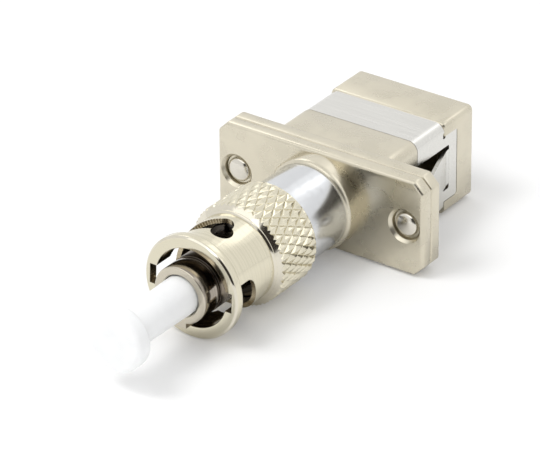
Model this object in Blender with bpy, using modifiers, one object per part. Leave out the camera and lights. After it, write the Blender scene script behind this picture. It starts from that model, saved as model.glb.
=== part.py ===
"""Hybrid fibre adapter: a bayonet plug nose on a flanged body with a square push-pull socket.

Every piece is drawn along the optical axis, in the frame of the empty "optical_axis": +Z runs
forward out of the nose, +Y is up, and Z = 0 is the front face of the flange.  The empty turns
that frame so that the adapter lies on its underside with the nose towards -Y, and puts the
origin under the middle of it.
"""
import math

import bmesh
import bpy
from mathutils import Matrix, Vector

MM = 0.001

# Clearances
PRESS_GAP = 0.02 * MM       # radial, between pressed, bonded or screwed pieces
SEAT_GAP = 0.03 * MM        # between faces that rest on each other
RUNNING_GAP = 0.08 * MM     # radial, between pieces that turn or slide
SLIT_GAP = 0.1 * MM         # between a flat spring and the walls beside it

# Flange, two plates riveted together
FLANGE_WIDTH = 22.0 * MM
FLANGE_HEIGHT = 9.3 * MM
FRONT_PLATE = 1.3 * MM
REAR_PLATE = 1.3 * MM
CORNER_CUT = 1.0 * MM
FLANGE_BEVEL = 0.25 * MM
SEAM_BEVEL = 0.12 * MM

# Rivets, and the recesses that their heads sit in
RIVET_INSET = 2.0 * MM      # from the flange's end to the rivet's centre
RIVET_SHANK_RADIUS = 0.8 * MM
RIVET_HEAD_RADIUS = 1.15 * MM
RIVET_HEAD_RIM = 0.2 * MM
RIVET_CROWN = 0.45 * MM
RIVET_TAIL_RADIUS = 1.2 * MM
RIVET_TAIL_HEIGHT = 0.4 * MM
RECESS_ROOM = 0.25 * MM
RECESS_CHAMFER = 0.28 * MM

# Boss and polished tube
BOSS_LENGTH = 1.8 * MM
BOSS_WALL = 0.3 * MM
BOSS_FLARE = 0.18 * MM
TUBE_RADIUS = 4.1 * MM
TUBE_SHOWN = 7.05 * MM
TUBE_SEAT = 0.55 * MM
TUBE_CHAMFER = 0.2 * MM

# Ferrules, the glass stub and what holds them
FERRULE_RADIUS = 1.25 * MM
FERRULE_CHAMFER = 0.3 * MM
FERRULE_PROUD = 7.5 * MM
FRONT_FERRULE_LENGTH = 12.8 * MM
REAR_FERRULE_LENGTH = 8.8 * MM
FIBRE_RADIUS = 0.0625 * MM
FIBRE_HOLE_RADIUS = 0.1 * MM
HOLDER_WALL = 0.61 * MM
HOLDER_COLLAR = 0.45 * MM
HOLDER_COLLAR_LENGTH = 0.7 * MM
HOLDER_SETBACK = 2.6 * MM
HOLDER_CORE_RADIUS = 0.6 * MM

# Alignment sleeve and the tubes that carry it
MATING_DEPTH = 14.0 * MM
SLEEVE_LENGTH = 10.0 * MM
SLEEVE_WALL = 0.33 * MM
SLEEVE_SLIT = 0.4 * MM
SLEEVE_ROOM = 0.08 * MM
CARRIER_WALL = 0.37 * MM
CARRIER_LIP = 0.2 * MM
CARRIER_FLANGE = 0.5 * MM

# Keyed nose
NOSE_WALL = 0.78 * MM
NOSE_PROUD = 1.6 * MM
NOSE_CHAMFER = 0.15 * MM
SHANK_WALL = 0.5 * MM
GROOVE_SETBACK = 1.9 * MM
GROOVE_WIDTH = 0.45 * MM
GROOVE_DEPTH = 0.25 * MM
KEY_WIDTH = 1.2 * MM
KEY_HEIGHT = 0.45 * MM
KEY_LENGTH = 2.4 * MM

# Bayonet nut
NUT_LENGTH = 12.25 * MM
NUT_SPACE = 1.05 * MM       # ring-shaped room between the nose and the nut
NUT_WALL = 0.43 * MM
NUT_SHOULDER = 0.55 * MM
SKIRT_LENGTH = 1.57 * MM
LIP_HEIGHT = 0.7 * MM
LIP_WIDTH = 0.75 * MM
LIP_CHAMFER = 0.26 * MM
NUT_TURN = math.radians(-2.3)

# Helical slots of the nut
SLOT_WIDTH = 1.9 * MM
SLOT_BITE = 0.15 * MM       # how far the entry grooves cut into the lip
SLOT_START = 2.65 * MM      # from the nut's front to where the ramp begins
SLOT_RISE = 1.95 * MM
SLOT_SWEEP = math.radians(90.0)
DETENT_RADIUS = 0.97 * MM
DETENT_BACK = 1.05 * MM
DETENT_PAST = math.radians(5.0)

# Knurl and the polished cones in front of it
KNURL_STARTS = 32
KNURL_ANGLE = math.radians(31.0)
KNURL_DEPTH = 0.24 * MM
KNURL_WALL = 0.43 * MM
KNURL_LENGTH = 4.8 * MM
REAR_CHAMFER = 0.4 * MM
CONE_RUN = 0.55 * MM
CONE_EDGE = 0.08 * MM
CONE_STEP = 0.4             # share of the rise from tube to crest that is one sharp step

# Spring pack inside the nut
SPRING_WIRE = 0.4 * MM
SPRING_LENGTH = 3.0 * MM
SPRING_TURNS = 3.0
SLIP_WASHER = 0.22 * MM
THRUST_WASHER = 0.3 * MM
CIRCLIP_THICKNESS = 0.36 * MM
CIRCLIP_WIDTH = 0.9 * MM
CIRCLIP_DEPTH = 0.35 * MM
CIRCLIP_MOUTH = 1.6 * MM

# Dust cap
CAP_REACH = 2.2 * MM        # how far the cap's mouth goes into the nose
CAP_HEAD_RADIUS = 2.9 * MM
CAP_HEAD_LENGTH = 1.75 * MM
CAP_HEAD_ROUND = 0.5 * MM
CAP_TAPER = 0.1 * MM
CAP_TIP_ROOM = 0.35 * MM
CAP_END_WALL = 1.65 * MM

# Socket body
PORT_WIDTH = 9.0 * MM
PORT_HEIGHT = 7.4 * MM
PORT_CHAMFER = 0.22 * MM
SIDE_WALL = 1.7 * MM
ROOF_WALL = 0.87 * MM
BODY_LENGTH = 12.67 * MM
FRONT_BLOCK = 3.67 * MM
FRONT_BLOCK_ROUND = 1.0 * MM
REAR_BLOCK_ROUND = 0.5 * MM
REAR_BLOCK_CHAMFER = 0.35 * MM
KEYWAY_WIDTH = 2.2 * MM
KEYWAY_DEPTH = 0.5 * MM

# Strap spring clip
CLIP_THICKNESS = 0.35 * MM
CLIP_TOP_LENGTH = 4.3 * MM
CLIP_SIDE_LENGTH = 6.35 * MM
CLIP_CORNER = 0.8 * MM
CLIP_FOOT = 1.3 * MM
CLIP_SIDE_HEIGHT = 6.6 * MM
CLIP_RELIEF = 0.4 * MM      # notch where the side plate leaves the strap
TONGUE_POCKET = 0.9 * MM    # room behind the tongue in the body's side
TONGUE_WIDTH = 3.5 * MM
TONGUE_SLIT = 0.45 * MM
TONGUE_ROOT = 1.25 * MM
TONGUE_LENGTH = 7.0 * MM
TONGUE_TIP = 0.8 * MM
TONGUE_ANGLE = math.radians(19.0)

# Latch holder inside the socket
BASE_THICKNESS = 1.5 * MM
BASE_EDGE_SIDE = 0.7 * MM   # how far the base reaches past the port at each side
BASE_EDGE_TOP = 0.22 * MM
CENTRE_TUBE_WALL = 0.6 * MM
CENTRE_TUBE_LIP = 0.35 * MM
ARM_OFFSET = 3.05 * MM
ARM_THICKNESS = 0.65 * MM
ARM_WIDTH = 2.6 * MM
ARM_LENGTH = 7.8 * MM
HOOK_HEIGHT = 0.45 * MM
HOOK_LENGTH = 1.1 * MM

# Roundness
FINE = 56
MEDIUM = 36
SMALL = 24

# Stations along the axis, worked out from the sizes above
SEAM = -FRONT_PLATE
REAR_PLATE_FRONT = SEAM - SEAT_GAP
REAR_PLATE_BACK = REAR_PLATE_FRONT - REAR_PLATE
BODY_BACK = REAR_PLATE_BACK - BODY_LENGTH
CLIP_FRONT = REAR_PLATE_BACK - FRONT_BLOCK - SLIT_GAP
MATING_PLANE = BODY_BACK + MATING_DEPTH
SLEEVE_FRONT = MATING_PLANE + SLEEVE_LENGTH / 2
SLEEVE_BACK = MATING_PLANE - SLEEVE_LENGTH / 2
CARRIER_FRONT = SLEEVE_FRONT + SEAT_GAP + CARRIER_LIP
TUBE_STEP = CARRIER_FRONT + SLEEVE_ROOM
COLLAR_BACK = TUBE_STEP + SEAT_GAP
COLLAR_FRONT = COLLAR_BACK + HOLDER_COLLAR_LENGTH
SHANK_BACK = COLLAR_FRONT + SEAT_GAP
NUT_BACK = TUBE_SHOWN
TUBE_FRONT = NUT_BACK + SKIRT_LENGTH
SHOULDER_BACK = TUBE_FRONT + SEAT_GAP
SHOULDER_FRONT = SHOULDER_BACK + NUT_SHOULDER
SLIP_BACK = SHOULDER_FRONT + SEAT_GAP
SPRING_BACK = SLIP_BACK + SLIP_WASHER + SEAT_GAP
THRUST_BACK = SPRING_BACK + SPRING_LENGTH + SEAT_GAP
CIRCLIP_BACK = THRUST_BACK + THRUST_WASHER + SEAT_GAP
NUT_FRONT = NUT_BACK + NUT_LENGTH
NOSE_FRONT = NUT_FRONT + NOSE_PROUD
FERRULE_TIP = NOSE_FRONT + FERRULE_PROUD
CAP_FRONT = FERRULE_TIP + CAP_TIP_ROOM + CAP_END_WALL

# Radii and half widths, worked out the same way
HOLDER_RADIUS = FERRULE_RADIUS + PRESS_GAP + HOLDER_WALL
NOSE_BORE = HOLDER_RADIUS + PRESS_GAP
NOSE_RADIUS = NOSE_BORE + NOSE_WALL
SHANK_RADIUS = NOSE_BORE + SHANK_WALL
TUBE_BORE = SHANK_RADIUS + PRESS_GAP
NUT_BORE = NOSE_RADIUS + NUT_SPACE
NUT_TUBE_RADIUS = NUT_BORE + NUT_WALL
LIP_RADIUS = NUT_TUBE_RADIUS + LIP_HEIGHT
SLOT_REACH = NUT_TUBE_RADIUS + SLOT_BITE
SKIRT_BORE = TUBE_RADIUS + RUNNING_GAP
KNURL_ROOT = SKIRT_BORE + KNURL_WALL
KNURL_CREST = KNURL_ROOT + KNURL_DEPTH
BOSS_BORE = TUBE_RADIUS + PRESS_GAP
BOSS_RADIUS = BOSS_BORE + BOSS_WALL
SLEEVE_BORE = FERRULE_RADIUS + PRESS_GAP
SLEEVE_RADIUS = SLEEVE_BORE + SLEEVE_WALL
CARRIER_BORE = SLEEVE_RADIUS + SLEEVE_ROOM
CARRIER_RADIUS = CARRIER_BORE + CARRIER_WALL
CARRIER_FLANGE_RADIUS = CARRIER_RADIUS + CARRIER_FLANGE
RIVET_SPACING = FLANGE_WIDTH - 2 * RIVET_INSET
RECESS_RADIUS = RIVET_HEAD_RADIUS + RECESS_ROOM
RECESS_DEPTH = RIVET_HEAD_RIM + RIVET_CROWN + SEAT_GAP
BODY_HALF_WIDTH = PORT_WIDTH / 2 + SIDE_WALL
BODY_HALF_HEIGHT = PORT_HEIGHT / 2 + ROOF_WALL
CLIP_RECESS = CLIP_THICKNESS + 2 * SEAT_GAP
CORE_HALF_WIDTH = BODY_HALF_WIDTH - CLIP_RECESS
CORE_HALF_HEIGHT = BODY_HALF_HEIGHT - CLIP_RECESS
AXIS_HEIGHT = max(LIP_RADIUS, KNURL_CREST, CAP_HEAD_RADIUS, FLANGE_HEIGHT / 2, BODY_HALF_HEIGHT)
AXIS_SHIFT = (CAP_FRONT + BODY_BACK) / 2

FINISHES = {
    "cast_nickel": ((0.62, 0.58, 0.49), 0.34, 1.0),
    "turned_nickel": ((0.70, 0.67, 0.58), 0.26, 1.0),
    "polished_nickel": ((0.66, 0.68, 0.70), 0.10, 1.0),
    "dark_nickel": ((0.36, 0.34, 0.30), 0.22, 1.0),
    "spring_steel": ((0.72, 0.73, 0.74), 0.22, 1.0),
    "stainless": ((0.60, 0.60, 0.59), 0.28, 1.0),
    "zirconia": ((0.88, 0.87, 0.84), 0.18, 0.0),
    "glass_fibre": ((0.80, 0.88, 0.90), 0.05, 0.0),
    "moulded_white": ((0.85, 0.85, 0.83), 0.45, 0.0),
    "soft_cap": ((0.90, 0.91, 0.92), 0.38, 0.0),
}


def clear_scene():
    """Remove every object that the file starts with."""
    for item in list(bpy.data.objects):
        bpy.data.objects.remove(item, do_unlink=True)


def new_collection(name):
    """Add a collection to the scene."""
    group = bpy.data.collections.new(name)
    bpy.context.scene.collection.children.link(group)
    return group


def finish(name):
    """Return the named finish as a material, made on first use."""
    if name in bpy.data.materials:
        return bpy.data.materials[name]
    color, roughness, metallic = FINISHES[name]
    material = bpy.data.materials.new(name)
    material.use_nodes = True
    shader = material.node_tree.nodes["Principled BSDF"]
    shader.inputs["Base Color"].default_value = (*color, 1.0)
    shader.inputs["Roughness"].default_value = roughness
    shader.inputs["Metallic"].default_value = metallic
    material.diffuse_color = (*color, 1.0)
    return material


class Workshop:
    """Holds the two collections and the empty that carries every piece."""

    def __init__(self):
        self.parts = new_collection("hybrid_fibre_adapter")
        self.tools = new_collection("cutters")
        self.axis = bpy.data.objects.new("optical_axis", None)
        self.axis.empty_display_size = 5.0 * MM
        self.axis.location = (0.0, AXIS_SHIFT, AXIS_HEIGHT)
        self.axis.rotation_euler = (math.radians(90.0), 0.0, 0.0)
        self.parts.objects.link(self.axis)

    def piece(self, name, data, material):
        """Put a finished piece on the optical axis."""
        item = bpy.data.objects.new(name, data)
        item.parent = self.axis
        data.materials.append(finish(material))
        self.parts.objects.link(item)
        return item

    def tool(self, name, mesh):
        """Put a cutter or a joined-on body beside the pieces, hidden from renders."""
        item = bpy.data.objects.new(name, mesh)
        item.parent = self.axis
        item.hide_render = True
        item.display_type = "WIRE"
        self.tools.objects.link(item)
        return item


def combine(piece, operation, tools):
    """Cut the piece with each tool, or join each tool to it."""
    for tool in tools:
        step = piece.modifiers.new(f"{operation.lower()}_{tool.name}", "BOOLEAN")
        step.operation = operation
        step.solver = "EXACT"
        step.object = tool


def to_mesh(bm, name, smooth=True):
    """Close a bmesh into a mesh with its faces outwards and its round sides smooth."""
    bmesh.ops.recalc_face_normals(bm, faces=bm.faces)
    mesh = bpy.data.meshes.new(name)
    bm.to_mesh(mesh)
    bm.free()
    if smooth:
        mesh.shade_smooth()
        mesh.set_sharp_from_angle(angle=math.radians(35.0))
    return mesh


def revolve(profile, steps):
    """Spin a closed (radius, z) outline round the axis and return the bmesh."""
    bm = bmesh.new()
    ring = [bm.verts.new((radius, 0.0, z)) for radius, z in profile]
    for a, b in zip(ring, ring[1:] + ring[:1]):
        bm.edges.new((a, b))
    bmesh.ops.spin(
        bm,
        geom=list(bm.verts) + list(bm.edges),
        cent=(0.0, 0.0, 0.0),
        axis=(0.0, 0.0, 1.0),
        angle=2.0 * math.pi,
        steps=steps,
        use_merge=True,
    )
    bmesh.ops.remove_doubles(bm, verts=bm.verts, dist=1e-7)
    return bm


def turned(name, profile, steps):
    """Return the mesh of a ring-shaped turned piece."""
    return to_mesh(revolve(profile, steps), name)


def turned_solid(name, profile, steps):
    """Return the mesh of a turned piece whose outline starts and ends on the axis."""
    bm = bmesh.new()
    line = [bm.verts.new((radius, 0.0, z)) for radius, z in profile]
    for a, b in zip(line, line[1:]):
        bm.edges.new((a, b))
    bmesh.ops.spin(
        bm,
        geom=list(bm.verts) + list(bm.edges),
        cent=(0.0, 0.0, 0.0),
        axis=(0.0, 0.0, 1.0),
        angle=2.0 * math.pi,
        steps=steps,
        use_merge=True,
    )
    bmesh.ops.remove_doubles(bm, verts=bm.verts, dist=1e-7)
    return to_mesh(bm, name)


def arc(centre, radius, start, end, steps):
    """Points (r, z) of an arc round a centre, from one angle to another in degrees."""
    points = []
    for index in range(steps + 1):
        angle = math.radians(start + (end - start) * index / steps)
        points.append((centre[0] + radius * math.cos(angle), centre[1] + radius * math.sin(angle)))
    return points


def box(low, high):
    """Return a bmesh box between two corners."""
    bm = bmesh.new()
    bmesh.ops.create_cube(bm, size=1.0)
    low, high = Vector(low), Vector(high)
    bmesh.ops.scale(bm, vec=high - low, verts=bm.verts)
    bmesh.ops.translate(bm, vec=(low + high) / 2, verts=bm.verts)
    return bm


def edges_along(bm, axis):
    """List the edges that run along one coordinate axis."""
    return [e for e in bm.edges if abs((e.verts[0].co - e.verts[1].co).normalized()[axis]) > 0.99]


def edges_at(bm, axis, value):
    """List the edges whose two ends lie on one plane."""
    return [e for e in bm.edges if all(abs(v.co[axis] - value) < 1e-7 for v in e.verts)]


def round_off(bm, edges, width, segments):
    """Bevel the given edges."""
    bmesh.ops.bevel(
        bm,
        geom=edges,
        offset=width,
        offset_type="OFFSET",
        segments=segments,
        profile=0.5,
        affect="EDGES",
        clamp_overlap=True,
        material=-1,
    )


def prism(outline, low, high):
    """Extrude a closed (x, z) outline from y = low to y = high."""
    bm = bmesh.new()
    face = bm.faces.new([bm.verts.new((x, low, z)) for x, z in outline])
    grown = bmesh.ops.extrude_face_region(bm, geom=[face])
    moved = [item for item in grown["geom"] if isinstance(item, bmesh.types.BMVert)]
    bmesh.ops.translate(bm, vec=(0.0, high - low, 0.0), verts=moved)
    return bm


def plate(front, back, front_bevel, back_bevel):
    """Return the bmesh of one flange plate, corners cut and outer edges bevelled."""
    half_width, half_height = FLANGE_WIDTH / 2, FLANGE_HEIGHT / 2
    bm = box((-half_width, -half_height, back), (half_width, half_height, front))
    round_off(bm, edges_along(bm, 2), CORNER_CUT, 1)
    round_off(bm, edges_at(bm, 2, front), front_bevel, 1)
    round_off(bm, edges_at(bm, 2, back), back_bevel, 1)
    return bm


def bar_x(side):
    """Centre of the rivet on one side of the flange."""
    return side * RIVET_SPACING / 2


def shifted(mesh, offset):
    """Move a mesh by an offset in the frame of the optical axis."""
    mesh.transform(Matrix.Translation(offset))
    return mesh


def make_front_housing(shop):
    """Front plate and boss, one casting, bored for the polished tube and the rivets."""
    body = shop.piece(
        "front_housing",
        to_mesh(plate(0.0, SEAM, FLANGE_BEVEL, SEAM_BEVEL), "front_housing"),
        "cast_nickel",
    )
    nose_round = BOSS_WALL * 0.6
    boss = [(BOSS_BORE - BOSS_WALL, BOSS_LENGTH)]
    boss += arc((BOSS_RADIUS - nose_round, BOSS_LENGTH - nose_round), nose_round, 90, 0, 4)
    boss += [(BOSS_RADIUS + BOSS_FLARE * 0.3, BOSS_LENGTH * 0.3)]
    boss += [(BOSS_RADIUS + BOSS_FLARE, SEAM * 0.25), (BOSS_BORE - BOSS_WALL, SEAM * 0.25)]
    seat = [(0.0, BOSS_LENGTH + MM), (BOSS_BORE, BOSS_LENGTH + MM), (BOSS_BORE, -TUBE_SEAT - SEAT_GAP)]
    seat += [(CARRIER_FLANGE_RADIUS + PRESS_GAP, -TUBE_SEAT - SEAT_GAP)]
    seat += [(CARRIER_FLANGE_RADIUS + PRESS_GAP, SEAM - MM), (0.0, SEAM - MM)]
    combine(body, "UNION", [shop.tool("boss", turned("boss", boss, FINE))])
    cutters = [shop.tool("tube_seat", turned_solid("tube_seat", seat, FINE))]
    hole_radius = RIVET_SHANK_RADIUS + PRESS_GAP
    mouth = RECESS_RADIUS + RECESS_CHAMFER
    recess = [(0.0, MM), (mouth, MM), (mouth, 0.0), (RECESS_RADIUS, -RECESS_CHAMFER)]
    recess += [(RECESS_RADIUS, -RECESS_DEPTH), (hole_radius, -RECESS_DEPTH)]
    recess += [(hole_radius, SEAM - MM), (0.0, SEAM - MM)]
    for side, label in ((-1, "left"), (1, "right")):
        mesh = turned_solid(f"recess_{label}", recess, SMALL)
        cutters.append(shop.tool(f"recess_{label}", shifted(mesh, (bar_x(side), 0.0, 0.0))))
    combine(body, "DIFFERENCE", cutters)


def make_rivets(shop):
    """Two rivets with crowned heads in front and flush tails behind."""
    head_seat = -RECESS_DEPTH + SEAT_GAP
    rim = head_seat + RIVET_HEAD_RIM
    tail_seat = REAR_PLATE_BACK + RIVET_TAIL_HEIGHT
    crown = []
    steps = 5
    for index in range(steps + 1):
        angle = math.radians(90.0 * (1 - index / steps))
        crown.append((RIVET_HEAD_RADIUS * math.cos(angle), rim + RIVET_CROWN * math.sin(angle)))
    crown[0] = (0.0, crown[0][1])
    profile = crown + [(RIVET_HEAD_RADIUS, head_seat), (RIVET_SHANK_RADIUS, head_seat)]
    profile += [(RIVET_SHANK_RADIUS, tail_seat), (RIVET_TAIL_RADIUS, tail_seat)]
    profile += [(RIVET_TAIL_RADIUS, REAR_PLATE_BACK + SEAT_GAP), (0.0, REAR_PLATE_BACK + SEAT_GAP)]
    for side, label in ((-1, "left"), (1, "right")):
        rivet = shop.piece(f"rivet_{label}", turned_solid(f"rivet_{label}", profile, SMALL), "stainless")
        rivet.location.x = bar_x(side)


def make_barrel_tube(shop):
    """Polished tube pressed into the boss; the nut's skirt slides over its front end."""
    back = -TUBE_SEAT
    profile = [(TUBE_BORE, TUBE_FRONT), (TUBE_RADIUS - TUBE_CHAMFER, TUBE_FRONT)]
    profile += [(TUBE_RADIUS, TUBE_FRONT - TUBE_CHAMFER), (TUBE_RADIUS, back)]
    profile += [(CARRIER_RADIUS + PRESS_GAP, back), (CARRIER_RADIUS + PRESS_GAP, TUBE_STEP)]
    profile += [(TUBE_BORE, TUBE_STEP)]
    shop.piece("barrel_tube", turned("barrel_tube", profile, FINE), "polished_nickel")


def make_keyed_nose(shop):
    """Nose that goes into the mating sleeve: key, relief groove, circlip groove and shank."""
    groove_front = NOSE_FRONT - GROOVE_SETBACK
    groove_back = groove_front - GROOVE_WIDTH
    clip_back = CIRCLIP_BACK - SEAT_GAP
    clip_front = CIRCLIP_BACK + CIRCLIP_THICKNESS + SEAT_GAP
    profile = [(NOSE_BORE, NOSE_FRONT), (NOSE_RADIUS - NOSE_CHAMFER, NOSE_FRONT)]
    profile += [(NOSE_RADIUS, NOSE_FRONT - NOSE_CHAMFER), (NOSE_RADIUS, groove_front)]
    profile += [(NOSE_RADIUS - GROOVE_DEPTH, groove_front), (NOSE_RADIUS - GROOVE_DEPTH, groove_back)]
    profile += [(NOSE_RADIUS, groove_back), (NOSE_RADIUS, clip_front)]
    profile += [(NOSE_RADIUS - CIRCLIP_DEPTH, clip_front), (NOSE_RADIUS - CIRCLIP_DEPTH, clip_back)]
    profile += [(NOSE_RADIUS, clip_back), (NOSE_RADIUS, SHOULDER_BACK)]
    profile += [(SHANK_RADIUS, SHOULDER_BACK), (SHANK_RADIUS, SHANK_BACK), (NOSE_BORE, SHANK_BACK)]
    nose = shop.piece("keyed_nose", turned("keyed_nose", profile, MEDIUM), "dark_nickel")
    root = NOSE_BORE + NOSE_WALL / 2
    key = box(
        (-KEY_WIDTH / 2, -NOSE_RADIUS - KEY_HEIGHT, NOSE_FRONT - KEY_LENGTH),
        (KEY_WIDTH / 2, -root, NOSE_FRONT),
    )
    combine(nose, "UNION", [shop.tool("key", to_mesh(key, "key", smooth=False))])


def knurl_rows():
    """Heights of the knurl's rows, from its front edge to its back edge."""
    half_pitch = math.pi * KNURL_CREST / KNURL_STARTS
    count = max(2, round(KNURL_LENGTH / (half_pitch / math.tan(KNURL_ANGLE))))
    front = NUT_BACK + REAR_CHAMFER + KNURL_LENGTH
    return [front - KNURL_LENGTH * row / count for row in range(count + 1)]


def cone_base(rows):
    """Radius and height where the polished cone in front of the knurl begins."""
    radius = NUT_TUBE_RADIUS + (KNURL_CREST - NUT_TUBE_RADIUS) * CONE_STEP
    return radius, rows[0] + CONE_RUN


def nut_profile(rows):
    """Outline of the nut, outer side from front to back and then the bores."""
    lip_back = NUT_FRONT - LIP_CHAMFER - LIP_WIDTH
    cone_radius, cone_front = cone_base(rows)
    profile = [(NUT_BORE, NUT_FRONT), (LIP_RADIUS - LIP_CHAMFER, NUT_FRONT)]
    profile += [(LIP_RADIUS, NUT_FRONT - LIP_CHAMFER), (LIP_RADIUS, lip_back)]
    profile += [(NUT_TUBE_RADIUS, lip_back), (NUT_TUBE_RADIUS, cone_front + CONE_EDGE)]
    profile += [(cone_radius, cone_front), (cone_radius + CONE_EDGE / 2, cone_front - CONE_EDGE)]
    profile += [(KNURL_CREST, z) for z in rows]
    profile += [(KNURL_ROOT - REAR_CHAMFER / 4, NUT_BACK), (SKIRT_BORE, NUT_BACK)]
    profile += [(SKIRT_BORE, SHOULDER_BACK), (NOSE_RADIUS + RUNNING_GAP, SHOULDER_BACK)]
    profile += [(NOSE_RADIUS + RUNNING_GAP, SHOULDER_FRONT), (NUT_BORE, SHOULDER_FRONT)]
    return profile


def groove_bottom(row, rows):
    """Radius and height of a groove's bottom; at both ends it runs out onto the cones."""
    if 0 < row < len(rows) - 1:
        return KNURL_ROOT, rows[row]
    radius, height = cone_base(rows) if row == 0 else (KNURL_ROOT - REAR_CHAMFER / 4, NUT_BACK)
    depth = KNURL_DEPTH / 2
    share = depth / (KNURL_CREST - radius)
    return KNURL_CREST - depth, rows[row] + (height - rows[row]) * share


def cut_knurl(bm, rows):
    """Drop every other lattice point to the root, and fold the faces along the grooves."""
    columns = 2 * KNURL_STARTS
    pits = set()
    for vert in bm.verts:
        row = min(range(len(rows)), key=lambda index: abs(rows[index] - vert.co.z))
        on_row = abs(rows[row] - vert.co.z) < 1e-7
        radius = vert.co.xy.length
        if not on_row or abs(radius - KNURL_CREST) > 1e-6:
            continue
        column = round(math.atan2(vert.co.y, vert.co.x) / (2.0 * math.pi) * columns)
        if (row + column) % 2:
            root, height = groove_bottom(row, rows)
            vert.co.xy *= root / radius
            vert.co.z = height
            pits.add(vert)
    for face in [f for f in bm.faces if len(f.verts) == 4]:
        low = [v for v in face.verts if v in pits]
        if len(low) == 2:
            bmesh.utils.face_split(face, low[0], low[1])


def slot_point(angle, radius, z, side):
    """Point of a slot cutter; the second slot is the first one turned by half a turn."""
    turn = angle + NUT_TURN + (math.pi if side else 0.0)
    return Vector((radius * math.cos(turn), radius * math.sin(turn), z))


def ramp_cutter(side):
    """Bar that follows the helical ramp through the nut's wall."""
    inner = NUT_BORE - NUT_SPACE / 2
    start_z = NUT_FRONT - SLOT_START
    slope = SLOT_RISE / (SLOT_SWEEP * NUT_TUBE_RADIUS)
    lean = math.atan(slope)
    steps = 14
    bm = bmesh.new()
    sections = []
    for index in range(steps + 1):
        share = index / steps
        angle, z = -SLOT_SWEEP * share, start_z - SLOT_RISE * share
        section = []
        for radius, edge in ((inner, -1), (SLOT_REACH, -1), (SLOT_REACH, 1), (inner, 1)):
            across = edge * SLOT_WIDTH / 2
            turn = angle + across * math.sin(lean) / NUT_TUBE_RADIUS * -1.0
            section.append(bm.verts.new(slot_point(turn, radius, z + across * math.cos(lean), side)))
        sections.append(section)
    for near, far in zip(sections, sections[1:]):
        for corner in range(4):
            after = (corner + 1) % 4
            bm.faces.new((near[corner], near[after], far[after], far[corner]))
    bm.faces.new(sections[0])
    bm.faces.new(sections[-1])
    return to_mesh(bm, "ramp", smooth=False)


def drill(angle, z, radius, side):
    """Radial cylinder through the nut's wall, as an end mill leaves it."""
    inner = NUT_BORE - NUT_SPACE / 2
    bm = bmesh.new()
    bmesh.ops.create_cone(
        bm, cap_ends=True, segments=24, radius1=radius, radius2=radius, depth=SLOT_REACH - inner
    )
    bmesh.ops.rotate(bm, matrix=Matrix.Rotation(math.pi / 2, 3, "Y"), verts=bm.verts)
    bmesh.ops.translate(bm, vec=((SLOT_REACH + inner) / 2, 0.0, z), verts=bm.verts)
    turn = angle + NUT_TURN + (math.pi if side else 0.0)
    bmesh.ops.rotate(bm, matrix=Matrix.Rotation(turn, 3, "Z"), verts=bm.verts)
    return to_mesh(bm, "drill", smooth=False)


def entry_cutter(side):
    """Straight groove through the lip to the start of the ramp."""
    inner = NUT_BORE - NUT_SPACE / 2
    bm = box(
        (inner, -SLOT_WIDTH / 2, NUT_FRONT - SLOT_START),
        (SLOT_REACH, SLOT_WIDTH / 2, NUT_FRONT + LIP_WIDTH),
    )
    turn = NUT_TURN + (math.pi if side else 0.0)
    bmesh.ops.rotate(bm, matrix=Matrix.Rotation(turn, 3, "Z"), verts=bm.verts)
    return to_mesh(bm, "entry", smooth=False)


def make_bayonet_nut(shop):
    """Nut with lip, two entry grooves, two helical slots ending in detents, and a diamond knurl."""
    rows = knurl_rows()
    bm = revolve(nut_profile(rows), 2 * KNURL_STARTS)
    cut_knurl(bm, rows)
    nut = shop.piece("bayonet_nut", to_mesh(bm, "bayonet_nut"), "turned_nickel")
    mill = SLOT_WIDTH / 2 + PRESS_GAP / 2
    start_z = NUT_FRONT - SLOT_START
    end_z = start_z - SLOT_RISE
    for side in (0, 1):
        detent = drill(-SLOT_SWEEP - DETENT_PAST, end_z + DETENT_BACK, DETENT_RADIUS, side)
        cutters = [
            shop.tool(f"entry_{side}", entry_cutter(side)),
            shop.tool(f"ramp_start_{side}", drill(0.0, start_z, mill, side)),
            shop.tool(f"ramp_{side}", ramp_cutter(side)),
            shop.tool(f"ramp_end_{side}", drill(-SLOT_SWEEP, end_z, mill, side)),
            shop.tool(f"detent_{side}", detent),
        ]
        combine(nut, "DIFFERENCE", cutters)


def washer(name, back, thickness, shop):
    """Flat washer that runs on the nose inside the nut."""
    inner, outer = NOSE_RADIUS + RUNNING_GAP, NUT_BORE - RUNNING_GAP
    front = back + thickness
    profile = [(inner, front), (outer, front), (outer, back), (inner, back)]
    shop.piece(name, turned(name, profile, MEDIUM), "stainless")


def make_spring_pack(shop):
    """Slip washer, coil spring, thrust washer and the circlip that holds them on the nose."""
    washer("slip_washer", SLIP_BACK, SLIP_WASHER, shop)
    washer("thrust_washer", THRUST_BACK, THRUST_WASHER, shop)
    make_nut_spring(shop)
    inner = NOSE_RADIUS - CIRCLIP_DEPTH + SEAT_GAP
    outer, front = inner + CIRCLIP_WIDTH, CIRCLIP_BACK + CIRCLIP_THICKNESS
    profile = [(inner, front), (outer, front), (outer, CIRCLIP_BACK), (inner, CIRCLIP_BACK)]
    ring = shop.piece("circlip", turned("circlip", profile, MEDIUM), "spring_steel")
    mouth = box((-CIRCLIP_MOUTH / 2, 0.0, CIRCLIP_BACK - MM), (CIRCLIP_MOUTH / 2, outer + MM, front + MM))
    combine(ring, "DIFFERENCE", [shop.tool("circlip_mouth", to_mesh(mouth, "circlip_mouth", smooth=False))])


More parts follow.
